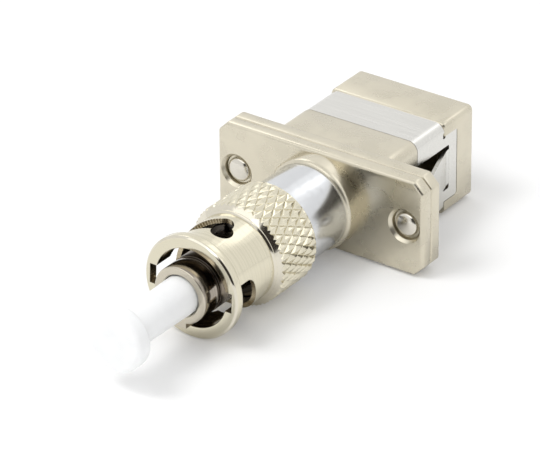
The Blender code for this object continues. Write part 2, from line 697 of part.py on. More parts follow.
def make_nut_spring(shop):
    """Compression spring whose end turns close up against the two washers."""
    wire = SPRING_WIRE / 2
    radius = (NOSE_RADIUS + NUT_BORE) / 2
    length = SPRING_LENGTH - SPRING_WIRE
    steps = round(SPRING_TURNS * 20)
    curve = bpy.data.curves.new("nut_spring", "CURVE")
    curve.dimensions = "3D"
    curve.bevel_depth = wire
    curve.bevel_resolution = 2
    curve.use_fill_caps = True
    line = curve.splines.new("POLY")
    line.points.add(steps)
    for index in range(steps + 1):
        share = index / steps
        angle = 2.0 * math.pi * SPRING_TURNS * share
        rise = share - 0.6 * math.sin(2.0 * math.pi * share) / (2.0 * math.pi)
        z = SPRING_BACK + wire + length * rise
        line.points[index].co = (radius * math.cos(angle), radius * math.sin(angle), z, 1.0)
    shop.piece("nut_spring", curve, "spring_steel")


def make_ferrule_train(shop):
    """Two ferrules on one glass stub, and the metal holder that grips both."""
    radius, hole, edge = FERRULE_RADIUS, FIBRE_HOLE_RADIUS, FERRULE_CHAMFER
    spans = {
        "front_ferrule": (FERRULE_TIP, FERRULE_TIP - FRONT_FERRULE_LENGTH),
        "rear_ferrule": (MATING_PLANE + REAR_FERRULE_LENGTH, MATING_PLANE),
    }
    for name, (front, back) in spans.items():
        profile = [(hole, front), (radius - edge / 2, front), (radius, front - edge)]
        profile += [(radius, back + edge), (radius - edge / 2, back), (hole, back)]
        shop.piece(name, turned(name, profile, SMALL), "zirconia")
    stub = [(0.0, FERRULE_TIP), (FIBRE_RADIUS, FERRULE_TIP)]
    stub += [(FIBRE_RADIUS, MATING_PLANE), (0.0, MATING_PLANE)]
    shop.piece("fibre_stub", turned_solid("fibre_stub", stub, 8), "glass_fibre")
    make_ferrule_holder(shop)


def make_ferrule_holder(shop):
    """Holder tube with a collar clamped between the barrel tube and the nose."""
    socket = FERRULE_RADIUS + PRESS_GAP
    front = NOSE_FRONT - HOLDER_SETBACK
    front_floor = FERRULE_TIP - FRONT_FERRULE_LENGTH - SEAT_GAP
    back_floor = MATING_PLANE + REAR_FERRULE_LENGTH + SEAT_GAP
    collar = HOLDER_RADIUS + HOLDER_COLLAR
    profile = [(socket, front), (HOLDER_RADIUS, front), (HOLDER_RADIUS, COLLAR_FRONT)]
    profile += [(collar, COLLAR_FRONT), (collar, COLLAR_BACK), (socket, COLLAR_BACK)]
    profile += [(socket, back_floor), (HOLDER_CORE_RADIUS, back_floor)]
    profile += [(HOLDER_CORE_RADIUS, front_floor), (socket, front_floor)]
    shop.piece("ferrule_holder", turned("ferrule_holder", profile, MEDIUM), "stainless")


def make_alignment_sleeve(shop):
    """Split ceramic sleeve that lines the stub up with the plug's ferrule."""
    profile = [(SLEEVE_BORE, SLEEVE_FRONT), (SLEEVE_RADIUS, SLEEVE_FRONT)]
    profile += [(SLEEVE_RADIUS, SLEEVE_BACK), (SLEEVE_BORE, SLEEVE_BACK)]
    sleeve = shop.piece("alignment_sleeve", turned("alignment_sleeve", profile, SMALL), "zirconia")
    slit = box(
        (-SLEEVE_SLIT / 2, 0.0, SLEEVE_BACK - MM), (SLEEVE_SLIT / 2, SLEEVE_RADIUS + MM, SLEEVE_FRONT + MM)
    )
    combine(sleeve, "DIFFERENCE", [shop.tool("slit", to_mesh(slit, "slit", smooth=False))])


def make_sleeve_retainer(shop):
    """Front half of the sleeve's housing, in the front plate and the polished tube."""
    back = SEAM
    flange_front = -TUBE_SEAT - 2 * SEAT_GAP
    lip_back = CARRIER_FRONT - CARRIER_LIP
    lip_bore = SLEEVE_BORE + SLEEVE_WALL / 2
    profile = [(lip_bore, CARRIER_FRONT), (CARRIER_RADIUS, CARRIER_FRONT)]
    profile += [(CARRIER_RADIUS, flange_front), (CARRIER_FLANGE_RADIUS, flange_front)]
    profile += [(CARRIER_FLANGE_RADIUS, back), (CARRIER_BORE, back)]
    profile += [(CARRIER_BORE, lip_back), (lip_bore, lip_back)]
    shop.piece("sleeve_retainer", turned("sleeve_retainer", profile, MEDIUM), "moulded_white")


def latch_arm(side):
    """Outline of one latch arm with its hook, drawn in x and z."""
    root = REAR_PLATE_FRONT - SEAT_GAP - BASE_THICKNESS / 2
    end = REAR_PLATE_FRONT - SEAT_GAP - BASE_THICKNESS - ARM_LENGTH
    inner, outer = ARM_OFFSET, ARM_OFFSET + ARM_THICKNESS
    outline = [(inner, root), (outer, root), (outer, end + HOOK_LENGTH / 4)]
    outline += [(outer - ARM_THICKNESS / 3, end), (inner, end)]
    outline += [(inner - HOOK_HEIGHT, end + HOOK_LENGTH * 0.55), (inner - HOOK_HEIGHT, end + HOOK_LENGTH)]
    outline += [(inner, end + HOOK_LENGTH)]
    return [(side * x, z) for x, z in outline]


def make_latch_holder(shop):
    """Moulded insert: base, centre tube for the sleeve and two hooked latch arms."""
    front = REAR_PLATE_FRONT - SEAT_GAP
    back = front - BASE_THICKNESS
    half_width = PORT_WIDTH / 2 + BASE_EDGE_SIDE - PRESS_GAP
    half_height = PORT_HEIGHT / 2 + BASE_EDGE_TOP - PRESS_GAP
    base = box((-half_width, -half_height, back), (half_width, half_height, front))
    round_off(base, edges_along(base, 2), BASE_EDGE_TOP * 2, 2)
    holder = shop.piece("latch_holder", to_mesh(base, "latch_holder"), "moulded_white")
    tip = SLEEVE_BACK - SEAT_GAP - CENTRE_TUBE_LIP
    outer = CARRIER_BORE + CENTRE_TUBE_WALL
    edge = CENTRE_TUBE_LIP * 0.6
    root = back + BASE_THICKNESS / 2
    tube = [(CARRIER_BORE - MM / 4, root), (outer, root), (outer, tip + edge)]
    tube += [(outer - edge, tip), (CARRIER_BORE - MM / 4, tip)]
    joined = [shop.tool("centre_tube", turned("centre_tube", tube, MEDIUM))]
    for side, label in ((-1, "left"), (1, "right")):
        arm = prism(latch_arm(side), -ARM_WIDTH / 2, ARM_WIDTH / 2)
        joined.append(shop.tool(f"arm_{label}", to_mesh(arm, f"arm_{label}", smooth=False)))
    combine(holder, "UNION", joined)
    lip_bore = FERRULE_RADIUS + RUNNING_GAP
    bore = [(0.0, front + MM), (CARRIER_BORE, front + MM), (CARRIER_BORE, SLEEVE_BACK - SEAT_GAP)]
    bore += [(lip_bore, SLEEVE_BACK - SEAT_GAP), (lip_bore, tip - MM), (0.0, tip - MM)]
    combine(holder, "DIFFERENCE", [shop.tool("sleeve_bore", turned_solid("sleeve_bore", bore, MEDIUM))])


def make_socket_housing(shop):
    """Rear plate and socket body, one casting, with the port, the pocket and the clip's recess."""
    housing = shop.piece(
        "socket_housing",
        to_mesh(plate(REAR_PLATE_FRONT, REAR_PLATE_BACK, SEAM_BEVEL, SEAM_BEVEL), "socket_housing"),
        "cast_nickel",
    )
    combine(housing, "UNION", body_blocks(shop))
    combine(housing, "DIFFERENCE", body_cutters(shop))


def body_blocks(shop):
    """Front block, core with its sole between the clip's feet, and rear block of the socket body."""
    overlap = REAR_PLATE / 2
    width, height = BODY_HALF_WIDTH, BODY_HALF_HEIGHT
    front_end = REAR_PLATE_BACK - FRONT_BLOCK
    rear_start = front_end - CLIP_TOP_LENGTH - 2 * SLIT_GAP
    front = box((-width, -height, front_end), (width, height, REAR_PLATE_BACK + overlap))
    round_off(front, edges_along(front, 2), FRONT_BLOCK_ROUND, 4)
    core = box(
        (-CORE_HALF_WIDTH, -CORE_HALF_HEIGHT, rear_start - overlap),
        (CORE_HALF_WIDTH, CORE_HALF_HEIGHT, front_end + overlap),
    )
    round_off(core, edges_along(core, 2), CLIP_CORNER - CLIP_THICKNESS / 2, 3)
    foot = CORE_HALF_WIDTH - CLIP_FOOT - SLIT_GAP
    sole = box(
        (-foot, SEAT_GAP - height, rear_start - overlap),
        (foot, -CORE_HALF_HEIGHT + ROOF_WALL / 4, front_end + overlap),
    )
    rear = box((-width, -height, BODY_BACK), (width, height, rear_start))
    round_off(rear, edges_along(rear, 2), REAR_BLOCK_ROUND, 3)
    ramp = [e for e in edges_at(rear, 2, rear_start) if min(v.co.y for v in e.verts) > height * 0.8]
    round_off(rear, ramp, REAR_BLOCK_CHAMFER, 1)
    blocks = {"front_block": front, "core_block": core, "sole_block": sole, "rear_block": rear}
    return [shop.tool(name, to_mesh(bm, name)) for name, bm in blocks.items()]


def port_cutter():
    """Square port whose mouth widens at 45 degrees."""
    half_width, half_height = PORT_WIDTH / 2, PORT_HEIGHT / 2
    bm = box(
        (-half_width, -half_height, BODY_BACK - PORT_CHAMFER),
        (half_width, half_height, REAR_PLATE_FRONT + MM),
    )
    bmesh.ops.bisect_plane(
        bm,
        geom=[*bm.verts, *bm.edges, *bm.faces],
        plane_co=(0.0, 0.0, BODY_BACK + PORT_CHAMFER),
        plane_no=(0.0, 0.0, 1.0),
    )
    for vert in bm.verts:
        if vert.co.z < BODY_BACK:
            vert.co.x += math.copysign(2 * PORT_CHAMFER, vert.co.x)
            vert.co.y += math.copysign(2 * PORT_CHAMFER, vert.co.y)
    return bm


def body_cutters(shop):
    """Port, keyway, insert pocket, clip recesses and rivet holes of the socket housing."""
    half_width, half_height = PORT_WIDTH / 2, PORT_HEIGHT / 2
    pocket_floor = REAR_PLATE_FRONT - 2 * SEAT_GAP - BASE_THICKNESS
    pocket_width = half_width + BASE_EDGE_SIDE
    pocket_height = half_height + BASE_EDGE_TOP
    pocket_mouth = REAR_PLATE_FRONT + MM
    pocket = box((-pocket_width, -pocket_height, pocket_floor), (pocket_width, pocket_height, pocket_mouth))
    round_off(pocket, edges_along(pocket, 2), BASE_EDGE_TOP * 2, 2)
    keyway = box(
        (-KEYWAY_WIDTH / 2, -half_height - KEYWAY_DEPTH, BODY_BACK - MM),
        (KEYWAY_WIDTH / 2, -half_height / 2, pocket_floor - BASE_THICKNESS),
    )
    cutters = {"port": port_cutter(), "insert_pocket": pocket, "keyway": keyway}
    cutters.update(clip_recesses())
    tools = [shop.tool(name, to_mesh(bm, name, smooth=False)) for name, bm in cutters.items()]
    return tools + rivet_bores(shop)


def clip_recesses():
    """Recesses in the body's sides for the clip's side plates, and pockets behind its tongues."""
    side_end = CLIP_FRONT - CLIP_SIDE_LENGTH - SLIT_GAP
    floor = CORE_HALF_WIDTH - PRESS_GAP
    pocket_floor = CORE_HALF_WIDTH - TONGUE_POCKET
    root = CLIP_FRONT - CLIP_SIDE_LENGTH + TONGUE_ROOT
    reach = BODY_HALF_WIDTH + MM
    half = CLIP_SIDE_HEIGHT / 2 + SLIT_GAP
    window = TONGUE_WIDTH / 2 + TONGUE_SLIT
    recesses = {}
    for side, label in ((-1, "left"), (1, "right")):
        x = sorted((side * floor, side * reach))
        recesses[f"side_recess_{label}"] = box((x[0], -half, side_end), (x[1], half, CLIP_FRONT))
        x = sorted((side * pocket_floor, side * reach))
        recesses[f"tongue_pocket_{label}"] = box((x[0], -window, root), (x[1], window, CLIP_FRONT - SLIT_GAP))
    return recesses


def rivet_bores(shop):
    """Rivet holes of the rear plate, with sunk seats for the tails."""
    hole_radius = RIVET_SHANK_RADIUS + PRESS_GAP
    tail_radius = RIVET_TAIL_RADIUS + PRESS_GAP
    tail_seat = REAR_PLATE_BACK + RIVET_TAIL_HEIGHT + SEAT_GAP
    profile = [(0.0, REAR_PLATE_FRONT + MM), (hole_radius, REAR_PLATE_FRONT + MM), (hole_radius, tail_seat)]
    profile += [(tail_radius, tail_seat), (tail_radius, REAR_PLATE_BACK - MM), (0.0, REAR_PLATE_BACK - MM)]
    tools = []
    for side, label in ((-1, "left"), (1, "right")):
        mesh = turned_solid(f"rivet_bore_{label}", profile, SMALL)
        tools.append(shop.tool(f"rivet_bore_{label}", shifted(mesh, (bar_x(side), 0.0, 0.0))))
    return tools


def clip_path():
    """Middle line of the clip's right half, from the top's centre down to the foot's end."""
    x = CORE_HALF_WIDTH + SEAT_GAP + CLIP_THICKNESS / 2
    y = CORE_HALF_HEIGHT + SEAT_GAP + CLIP_THICKNESS / 2
    bend = CLIP_CORNER
    points = [(0.0, y)]
    points += arc((x - bend, y - bend), bend, 90, 0, 4)
    points += arc((x - bend, bend - y), bend, 0, -90, 4)
    points += [(x - CLIP_FOOT, -y)]
    return points


def make_spring_clip(shop):
    """Strap of spring steel over the body, with a flared tongue on each side."""
    back = CLIP_FRONT - CLIP_SIDE_LENGTH
    bm = bmesh.new()
    path = clip_path()
    rows = [[bm.verts.new((x, y, z)) for x, y in path] for z in (CLIP_FRONT, back)]
    for index in range(len(path) - 1):
        bm.faces.new((rows[0][index], rows[0][index + 1], rows[1][index + 1], rows[1][index]))
    mesh = bpy.data.meshes.new("spring_clip")
    bm.to_mesh(mesh)
    bm.free()
    clip = shop.piece("spring_clip", mesh, "spring_steel")
    mirror = clip.modifiers.new("both_sides", "MIRROR")
    mirror.use_axis = (True, False, False)
    mirror.use_clip = True
    mirror.merge_threshold = 1e-6
    sheet = clip.modifiers.new("sheet", "SOLIDIFY")
    sheet.thickness = CLIP_THICKNESS
    sheet.offset = 0.0
    sheet.use_even_offset = True
    combine(clip, "DIFFERENCE", clip_cutters(shop))
    sides = ((-1, "left"), (1, "right"))
    tongues = [shop.tool(f"tongue_{label}", tongue(side, label)) for side, label in sides]
    combine(clip, "UNION", tongues)


def clip_cutters(shop):
    """Shorten the top and the feet, and free the tongues with slits open to the front."""
    reach = BODY_HALF_WIDTH + MM
    half_side = CLIP_SIDE_HEIGHT / 2
    top_back = CLIP_FRONT - CLIP_TOP_LENGTH
    back = CLIP_FRONT - CLIP_SIDE_LENGTH - MM
    window = TONGUE_WIDTH / 2 + TONGUE_SLIT
    root = CLIP_FRONT - CLIP_SIDE_LENGTH + TONGUE_ROOT
    height = BODY_HALF_HEIGHT + MM
    cutters = {
        "clip_top_end": box((-reach, half_side, back), (reach, height, top_back)),
        "clip_foot_end": box((-reach, -height, back), (reach, -half_side, top_back)),
        "clip_window": box((-reach, -window, root), (reach, window, CLIP_FRONT + MM)),
        "clip_relief": box(
            (-reach, half_side - CLIP_RELIEF / 2, top_back - CLIP_RELIEF / 2),
            (reach, half_side + CLIP_RELIEF, top_back + CLIP_RELIEF / 2),
        ),
    }
    return [shop.tool(name, to_mesh(bm, name, smooth=False)) for name, bm in cutters.items()]


def tongue(side, label):
    """Spring tongue: rooted in the side plate, flared outwards, its tip turned back in."""
    middle = CORE_HALF_WIDTH + SEAT_GAP + CLIP_THICKNESS / 2
    root = CLIP_FRONT - CLIP_SIDE_LENGTH + TONGUE_ROOT
    knee = root + TONGUE_LENGTH - TONGUE_TIP
    out = middle + math.tan(TONGUE_ANGLE) * (knee - root)
    line = [(middle, root - TONGUE_ROOT / 2), (middle, root), (out, knee)]
    line += [(out - TONGUE_TIP * math.tan(TONGUE_ANGLE), knee + TONGUE_TIP)]
    half = CLIP_THICKNESS / 2 - SEAT_GAP
    outline = [(x + half, z) for x, z in line] + [(x - half, z) for x, z in reversed(line)]
    bm = prism([(side * x, z) for x, z in outline], -TONGUE_WIDTH / 2, TONGUE_WIDTH / 2)
    return to_mesh(bm, f"tongue_{label}", smooth=False)


def make_dust_cap(shop):
    """Push-on cap over the front ferrule: thin stem in the nose, wide rounded head."""
    mouth = NOSE_FRONT - CAP_REACH
    bore = FERRULE_RADIUS + PRESS_GAP
    stem = NOSE_BORE - RUNNING_GAP
    floor = FERRULE_TIP + CAP_TIP_ROOM
    head_back = CAP_FRONT - CAP_HEAD_LENGTH
    neck = stem - CAP_TAPER
    edge = CAP_HEAD_ROUND
    profile = [(0.0, CAP_FRONT)]
    profile += arc((CAP_HEAD_RADIUS - edge, CAP_FRONT - edge), edge, 90, 0, 4)
    profile += arc((CAP_HEAD_RADIUS - edge, head_back + edge), edge, 0, -90, 3)
    profile += [(neck + edge / 2, head_back), (neck, head_back - edge / 2), (stem, NOSE_FRONT)]
    profile += [(stem, mouth), (bore, mouth), (bore, floor), (0.0, floor)]
    shop.piece("dust_cap", turned_solid("dust_cap", profile, MEDIUM), "soft_cap")


def main():
    """Build the adapter from the flange outwards."""
    clear_scene()
    shop = Workshop()
    make_front_housing(shop)
    make_socket_housing(shop)
    make_rivets(shop)
    make_spring_clip(shop)
    make_latch_holder(shop)
    make_sleeve_retainer(shop)
    make_alignment_sleeve(shop)
    make_ferrule_train(shop)
    make_barrel_tube(shop)
    make_keyed_nose(shop)
    make_spring_pack(shop)
    make_bayonet_nut(shop)
    make_dust_cap(shop)


main()
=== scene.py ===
"""Studio scene of a hybrid fibre adapter: a capped bayonet nose, a flange and a square socket.

Pieces are drawn in millimetres in the frame of the optical axis, where +Z runs forward out of the
nose, +Y is up and Z = 0 is the front face of the flange.  OpticalAxis turns that frame onto the
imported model, so every finished mesh is stored in place.
"""
from __future__ import annotations

import logging
import math
from dataclasses import dataclass, field
from enum import Enum
from typing import Any, Callable, Iterable, Mapping, Sequence, Union

import bmesh
import bpy
from mathutils import Matrix, Vector

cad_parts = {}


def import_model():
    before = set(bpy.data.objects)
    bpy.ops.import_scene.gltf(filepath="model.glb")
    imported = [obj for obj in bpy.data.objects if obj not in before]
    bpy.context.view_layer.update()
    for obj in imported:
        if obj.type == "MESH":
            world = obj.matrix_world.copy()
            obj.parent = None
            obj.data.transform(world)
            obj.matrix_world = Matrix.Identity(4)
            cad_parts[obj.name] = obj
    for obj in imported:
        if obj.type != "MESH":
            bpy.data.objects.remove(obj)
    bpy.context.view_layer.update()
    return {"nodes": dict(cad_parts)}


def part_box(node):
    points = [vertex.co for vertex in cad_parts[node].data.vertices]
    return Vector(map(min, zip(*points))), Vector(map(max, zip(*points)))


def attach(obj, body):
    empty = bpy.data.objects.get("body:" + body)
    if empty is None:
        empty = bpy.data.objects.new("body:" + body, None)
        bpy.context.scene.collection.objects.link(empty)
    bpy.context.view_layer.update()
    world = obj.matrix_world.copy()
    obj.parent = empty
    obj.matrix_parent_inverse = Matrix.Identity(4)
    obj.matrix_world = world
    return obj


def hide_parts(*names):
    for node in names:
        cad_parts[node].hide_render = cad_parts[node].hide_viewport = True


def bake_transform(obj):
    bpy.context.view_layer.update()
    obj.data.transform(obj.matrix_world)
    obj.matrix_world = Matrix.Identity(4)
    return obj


MM = 0.001
LOG = logging.getLogger("adapter")

REACH = 1.0  # how far a cutter runs past what it cuts
FAR = 8.0  # half width of a cutter that passes the whole adapter
PLAY = 0.03  # gap between two seated pieces
NIP = 0.02  # smallest step between two faces
NEAR = 1e-4  # distance within which two places are one
DOUBLES = 1e-5  # distance within which drawn points are merged
PACKED_DOUBLES = 2e-7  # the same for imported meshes, in metres
PARALLEL = 0.99  # least cosine of an edge that runs along an axis
FORWARD = 0.3  # least cosine of a face that looks forward
ACROSS = 0.5  # greatest cosine of a wall that stands across a tube
MARGIN = 0.05  # how far a finish zone reaches past its edge
INWARD = -0.9  # greatest cosine of a face that looks at the axis

Point = tuple[float, float]
Value = Union["Wire", float, Sequence[float]]


class Body(Enum):
    """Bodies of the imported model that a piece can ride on."""

    FIXED = "body"
    CARRIER = "nut_carrier"
    NUT = "nut"
    CAP = "cap"


class Slot(Enum):
    """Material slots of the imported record."""

    CAST = "cast_nickel"
    TURNED = "turned_nickel"
    POLISHED = "polished_nickel"
    DARK = "dark_nickel"
    SPRING = "spring_steel"
    STAINLESS = "stainless"
    CERAMIC = "zirconia"
    GLASS = "glass_fibre"
    MOULDED = "moulded_white"
    CAP = "soft_cap"


class Axis(Enum):
    """Coordinate axes, as indices."""

    X = 0
    Y = 1
    Z = 2


def arithmetic(operation: str, swapped: bool = False) -> Callable[["Wire", Value], "Wire"]:
    """Make a method of Wire that adds a Math node.

    Args:
        operation: The Math node's operation.
        swapped: Whether the other value stands on the left.

    Returns:
        The method.
    """

    def method(wire: "Wire", other: Value) -> "Wire":
        """Join two values in the order in which they are written."""
        return wire.graph.maths(operation, *((other, wire) if swapped else (wire, other)))

    return method


class Wire:
    """A shader socket that takes part in Python arithmetic."""

    def __init__(self, graph: "Graph", socket: bpy.types.NodeSocket) -> None:
        """Wrap an output socket of a graph."""
        self.graph = graph
        self.socket = socket

    __add__ = arithmetic("ADD")
    __radd__ = arithmetic("ADD", swapped=True)
    __sub__ = arithmetic("SUBTRACT")
    __rsub__ = arithmetic("SUBTRACT", swapped=True)
    __mul__ = arithmetic("MULTIPLY")
    __rmul__ = arithmetic("MULTIPLY", swapped=True)
    top = arithmetic("MAXIMUM")


class Graph:
    """Builds the nodes of one material or world."""

    def __init__(self, tree: bpy.types.NodeTree) -> None:
        """Start from a tree and empty it."""
        self.tree = tree
        tree.nodes.clear()

    def node(
        self,
        kind: str,
        settings: dict[str, Any] | None = None,
        sockets: dict[str | int, Value] | None = None,
    ) -> bpy.types.Node:
        """Add a node.

        Args:
            kind: The node's type name.
            settings: Properties that are set before any socket.
            sockets: Values or wires by socket name or index.

        Returns:
            The new node.
        """
        made = self.tree.nodes.new(kind)
        for name, value in (settings or {}).items():
            setattr(made, name, value)
        for key, value in (sockets or {}).items():
            self.feed(made.inputs[key], value)
        return made

    def feed(self, socket: bpy.types.NodeSocket, value: Value) -> None:
        """Link a wire to an input socket, or set its value.

        Args:
            socket: The input socket.
            value: The wire, or the value to set.
        """
        if isinstance(value, Wire):
            self.tree.links.new(value.socket, socket)
        else:
            socket.default_value = value

    def out(self, node: bpy.types.Node, key: str | int = 0) -> Wire:
        """Wrap one output of a node."""
        return Wire(self, node.outputs[key])

    def maths(self, operation: str, a: Value, b: Value) -> Wire:
        """Add a Math node on two values."""
        return self.out(self.node("ShaderNodeMath", {"operation": operation}, {0: a, 1: b}))

    def ramp(self, value: Value, low: float, high: float) -> Wire:
        """Clamp a value's span from low..high to 0..1, eased at both ends."""
        settings = {"interpolation_type": "SMOOTHSTEP"}
        return self.out(self.node("ShaderNodeMapRange", settings, {0: value, 1: low, 2: high}))

    def colours(self, factor: Value, a: Value, b: Value) -> Wire:
        """Mix two colours."""
        settings = {"data_type": "RGBA", "blend_type": "MIX"}
        return self.out(self.node("ShaderNodeMix", settings, {0: factor, 6: a, 7: b}), 2)

    def place(self) -> Wire:
        """Read Object coordinates in millimetres.

        Returns:
            The vector.
        """
        source = self.out(self.node("ShaderNodeTexCoord"), "Object")
        scale = {"operation": "SCALE"}
        return self.out(self.node("ShaderNodeVectorMath", scale, {0: source, "Scale": 1.0 / MM}))

    def parts(self, vector: Wire) -> tuple[Wire, Wire, Wire]:
        """Split a vector into its three values."""
        made = self.node("ShaderNodeSeparateXYZ", None, {0: vector})
        return self.out(made, 0), self.out(made, 1), self.out(made, 2)

    def stretched(self, vector: Wire, scale: Sequence[float]) -> Wire:
        """Scale a vector by a different number along each axis."""
        return self.out(self.node("ShaderNodeVectorMath", {"operation": "MULTIPLY"}, {0: vector, 1: scale}))

    def noise(self, vector: Wire, scale: float, detail: float = 2.0, rough: float = 0.5) -> Wire:
        """Noise on a vector, with features of about 1 / scale millimetres."""
        sockets = {"Vector": vector, "Scale": scale, "Detail": detail, "Roughness": rough}
        return self.out(self.node("ShaderNodeTexNoise", {"noise_dimensions": "3D"}, sockets), 0)

    def lines(self, value: Wire, scale: float, detail: float = 2.0) -> Wire:
        """Noise along one value, which gives straight lines across it."""
        sockets = {"W": value, "Scale": scale, "Detail": detail}
        return self.out(self.node("ShaderNodeTexNoise", {"noise_dimensions": "1D"}, sockets), 0)

    def bump(self, height: Wire, strength: float, depth: float) -> Wire:
        """Bump from a height; depth is in millimetres."""
        sockets = {"Strength": strength, "Distance": depth * MM, "Height": height}
        return self.out(self.node("ShaderNodeBump", None, sockets))

    def blended(self, factor: Value, a: Wire, b: Wire) -> Wire:
        """Mix two shaders."""
        return self.out(self.node("ShaderNodeMixShader", None, {0: factor, 1: a, 2: b}))


class Coat:
    """The shader of one finish, and the patterns that are laid on it."""

    def __init__(self, graph: Graph, finish: "Finish") -> None:
        """Add the finish's shader to a graph.

        Args:
            graph: The graph of the finish's material.
            finish: The finish to lay.
        """
        self.graph = graph
        self.finish = finish
        base = {"Base Color": finish.tint(1.0), "Roughness": finish.roughness, "Metallic": finish.metallic}
        self.shader = graph.node("ShaderNodeBsdfPrincipled", None, {**base, **dict(finish.fixed)})
        graph.node("ShaderNodeOutputMaterial", None, {"Surface": graph.out(self.shader)})

    def feed(self, socket: str, value: Value) -> None:
        """Feed one socket of the shader."""
        self.graph.feed(self.shader.inputs[socket], value)

    def colour(self, mask: Wire, dark: float, light: float) -> None:
        """Mix the finish's colour from dark to light along a mask."""
        self.feed("Base Color", self.graph.colours(mask, self.finish.tint(dark), self.finish.tint(light)))

    def gloss(self, least: float, *masks: tuple[Wire, float]) -> None:
        """Vary the roughness, in shares of the finish's own.

        Args:
            least: The share where every mask is 0.
            masks: Each mask with the share that it adds where it is 1.
        """
        rough: Any = self.finish.roughness * least
        for mask, share in masks:
            rough = rough + mask * self.finish.roughness * share
        self.feed("Roughness", rough)

    def relief(self, height: Wire, strength: float, depth: float) -> None:
        """Raise the skin by a height; depth is in millimetres."""
        self.feed("Normal", self.graph.bump(height, strength, depth))


@dataclass(frozen=True)
class Finish:
    """A surface finish; each subclass paints its own pattern."""

    name: str
    slot: Slot
    color: tuple[float, float, float]
    roughness: float
    metallic: float = 1.0
    fixed: tuple[tuple[str, Any], ...] = ()

    def material(self) -> bpy.types.Material:
        """Give the finish's material, made on first use.

        Returns:
            The material.
        """
        if self.name in bpy.data.materials:
            return bpy.data.materials[self.name]
        made = bpy.data.materials.new(self.name)
        made.use_nodes = True
        self.paint(Coat(Graph(made.node_tree), self))
        made.diffuse_color = self.tint(1.0)
        return made

    def paint(self, coat: Coat) -> None:
        """Lay the finish's own pattern."""
        raise NotImplementedError

    def tint(self, factor: float) -> tuple[float, float, float, float]:
        """The finish's colour made lighter or darker."""
        return (*(min(1.0, part * factor) for part in self.color), 1.0)


@dataclass(frozen=True)
class CastMetal(Finish):
    """Plated die casting: faint pebble, soft blotches and a few darker pores."""

    grain: float = 4.0
    depth: float = 0.002
    pores: float = 0.07

    def paint(self, coat: Coat) -> None:
        """Vary colour, gloss and height of the casting's skin.

        Args:
            coat: The coat to paint.
        """
        graph, place = coat.graph, coat.graph.place()
        pebble = graph.noise(place, self.grain, detail=4.0, rough=0.6)
        blotch = graph.ramp(graph.noise(place, scale=0.45, detail=3.0), low=0.35, high=0.65)
        speck = graph.ramp(graph.noise(place, self.grain * 2.2), low=0.62, high=0.72)
        skin = graph.colours(blotch, self.tint(0.95), self.tint(1.03))
        coat.feed("Base Color", graph.colours(speck * self.pores, skin, self.tint(0.7)))
        coat.gloss(0.86, (blotch, 0.2), (pebble, 0.12))
        coat.relief(pebble, 0.3, self.depth)


@dataclass(frozen=True)
class TurnedMetal(Finish):
    """Lathe-turned metal: rings across the optical axis, some brighter than others."""

    pitch: float = 0.22
    depth: float = 0.006
    contrast: float = 0.10

    def paint(self, coat: Coat) -> None:
        """Vary colour, gloss and height with the distance along the axis.

        Args:
            coat: The coat to paint.
        """
        graph, place = coat.graph, coat.graph.place()
        _, along, _ = graph.parts(place)
        rings = graph.lines(along, 1.0 / self.pitch, detail=3.0)
        broad = graph.lines(along, 0.35 / self.pitch, detail=1.0)
        cloud = graph.noise(place, scale=0.7)
        shade = graph.ramp(rings * 0.6 + broad * 0.4, low=0.3, high=0.7)
        coat.colour(shade, 1.0 - self.contrast, 1.0 + self.contrast)
        coat.gloss(0.75, (shade, 0.3), (cloud, 0.3))
        coat.relief(rings, 0.5, self.depth)


@dataclass(frozen=True)
class PolishedMetal(Finish):
    """Bright plating with faint wiping marks round the axis and hazy spots."""

    haze: float = 0.08
    wiping: float = 0.03
    depth: float = 0.004

    def paint(self, coat: Coat) -> None:
        """Vary gloss and, very faintly, colour.

        Args:
            coat: The coat to paint.
        """
        graph, place = coat.graph, coat.graph.place()
        _, along, _ = graph.parts(place)
        wiped = graph.lines(along, scale=2.2)
        spots = graph.ramp(graph.noise(place, scale=1.1, detail=3.0), low=0.5, high=0.8)
        coat.feed("Roughness", self.roughness + wiped * self.wiping + spots * self.haze)
        coat.colour(spots, 1.02, 0.94)
        coat.relief(wiped, 0.12, self.depth)


@dataclass(frozen=True)
class RolledMetal(Finish):
    """Rolled strip: long faint streaks across the adapter."""

    grain: tuple[float, float, float] = (0.2, 4.0, 4.0)
    depth: float = 0.002

    def paint(self, coat: Coat) -> None:
        """Stretch a noise along the rolling direction.

        Args:
            coat: The coat to paint.
        """
        graph = coat.graph
        streaks = graph.noise(graph.stretched(graph.place(), self.grain), scale=1.0, detail=3.0, rough=0.55)
        shade = graph.ramp(streaks, low=0.3, high=0.7)
        coat.colour(shade, 0.97, 1.02)
        coat.gloss(0.85, (shade, 0.3))
        coat.relief(streaks, 0.15, self.depth)


@dataclass(frozen=True)
class MouldedPlastic(Finish):
    """Moulded plastic or ceramic: fine mould texture and cloudy gloss."""

    metallic: float = 0.0
    grain: float = 3.0
    depth: float = 0.006

    def paint(self, coat: Coat) -> None:
        """Vary colour, gloss and height a little.

        Args:
            coat: The coat to paint.
        """
        graph, place = coat.graph, coat.graph.place()
        fine = graph.noise(place, self.grain, detail=3.0, rough=0.6)
        cloud = graph.ramp(graph.noise(place, scale=0.5), low=0.3, high=0.7)
        coat.colour(cloud, 0.97, 1.02)
        coat.gloss(0.85, (cloud, 0.3))
        coat.relief(fine, 0.3, self.depth)


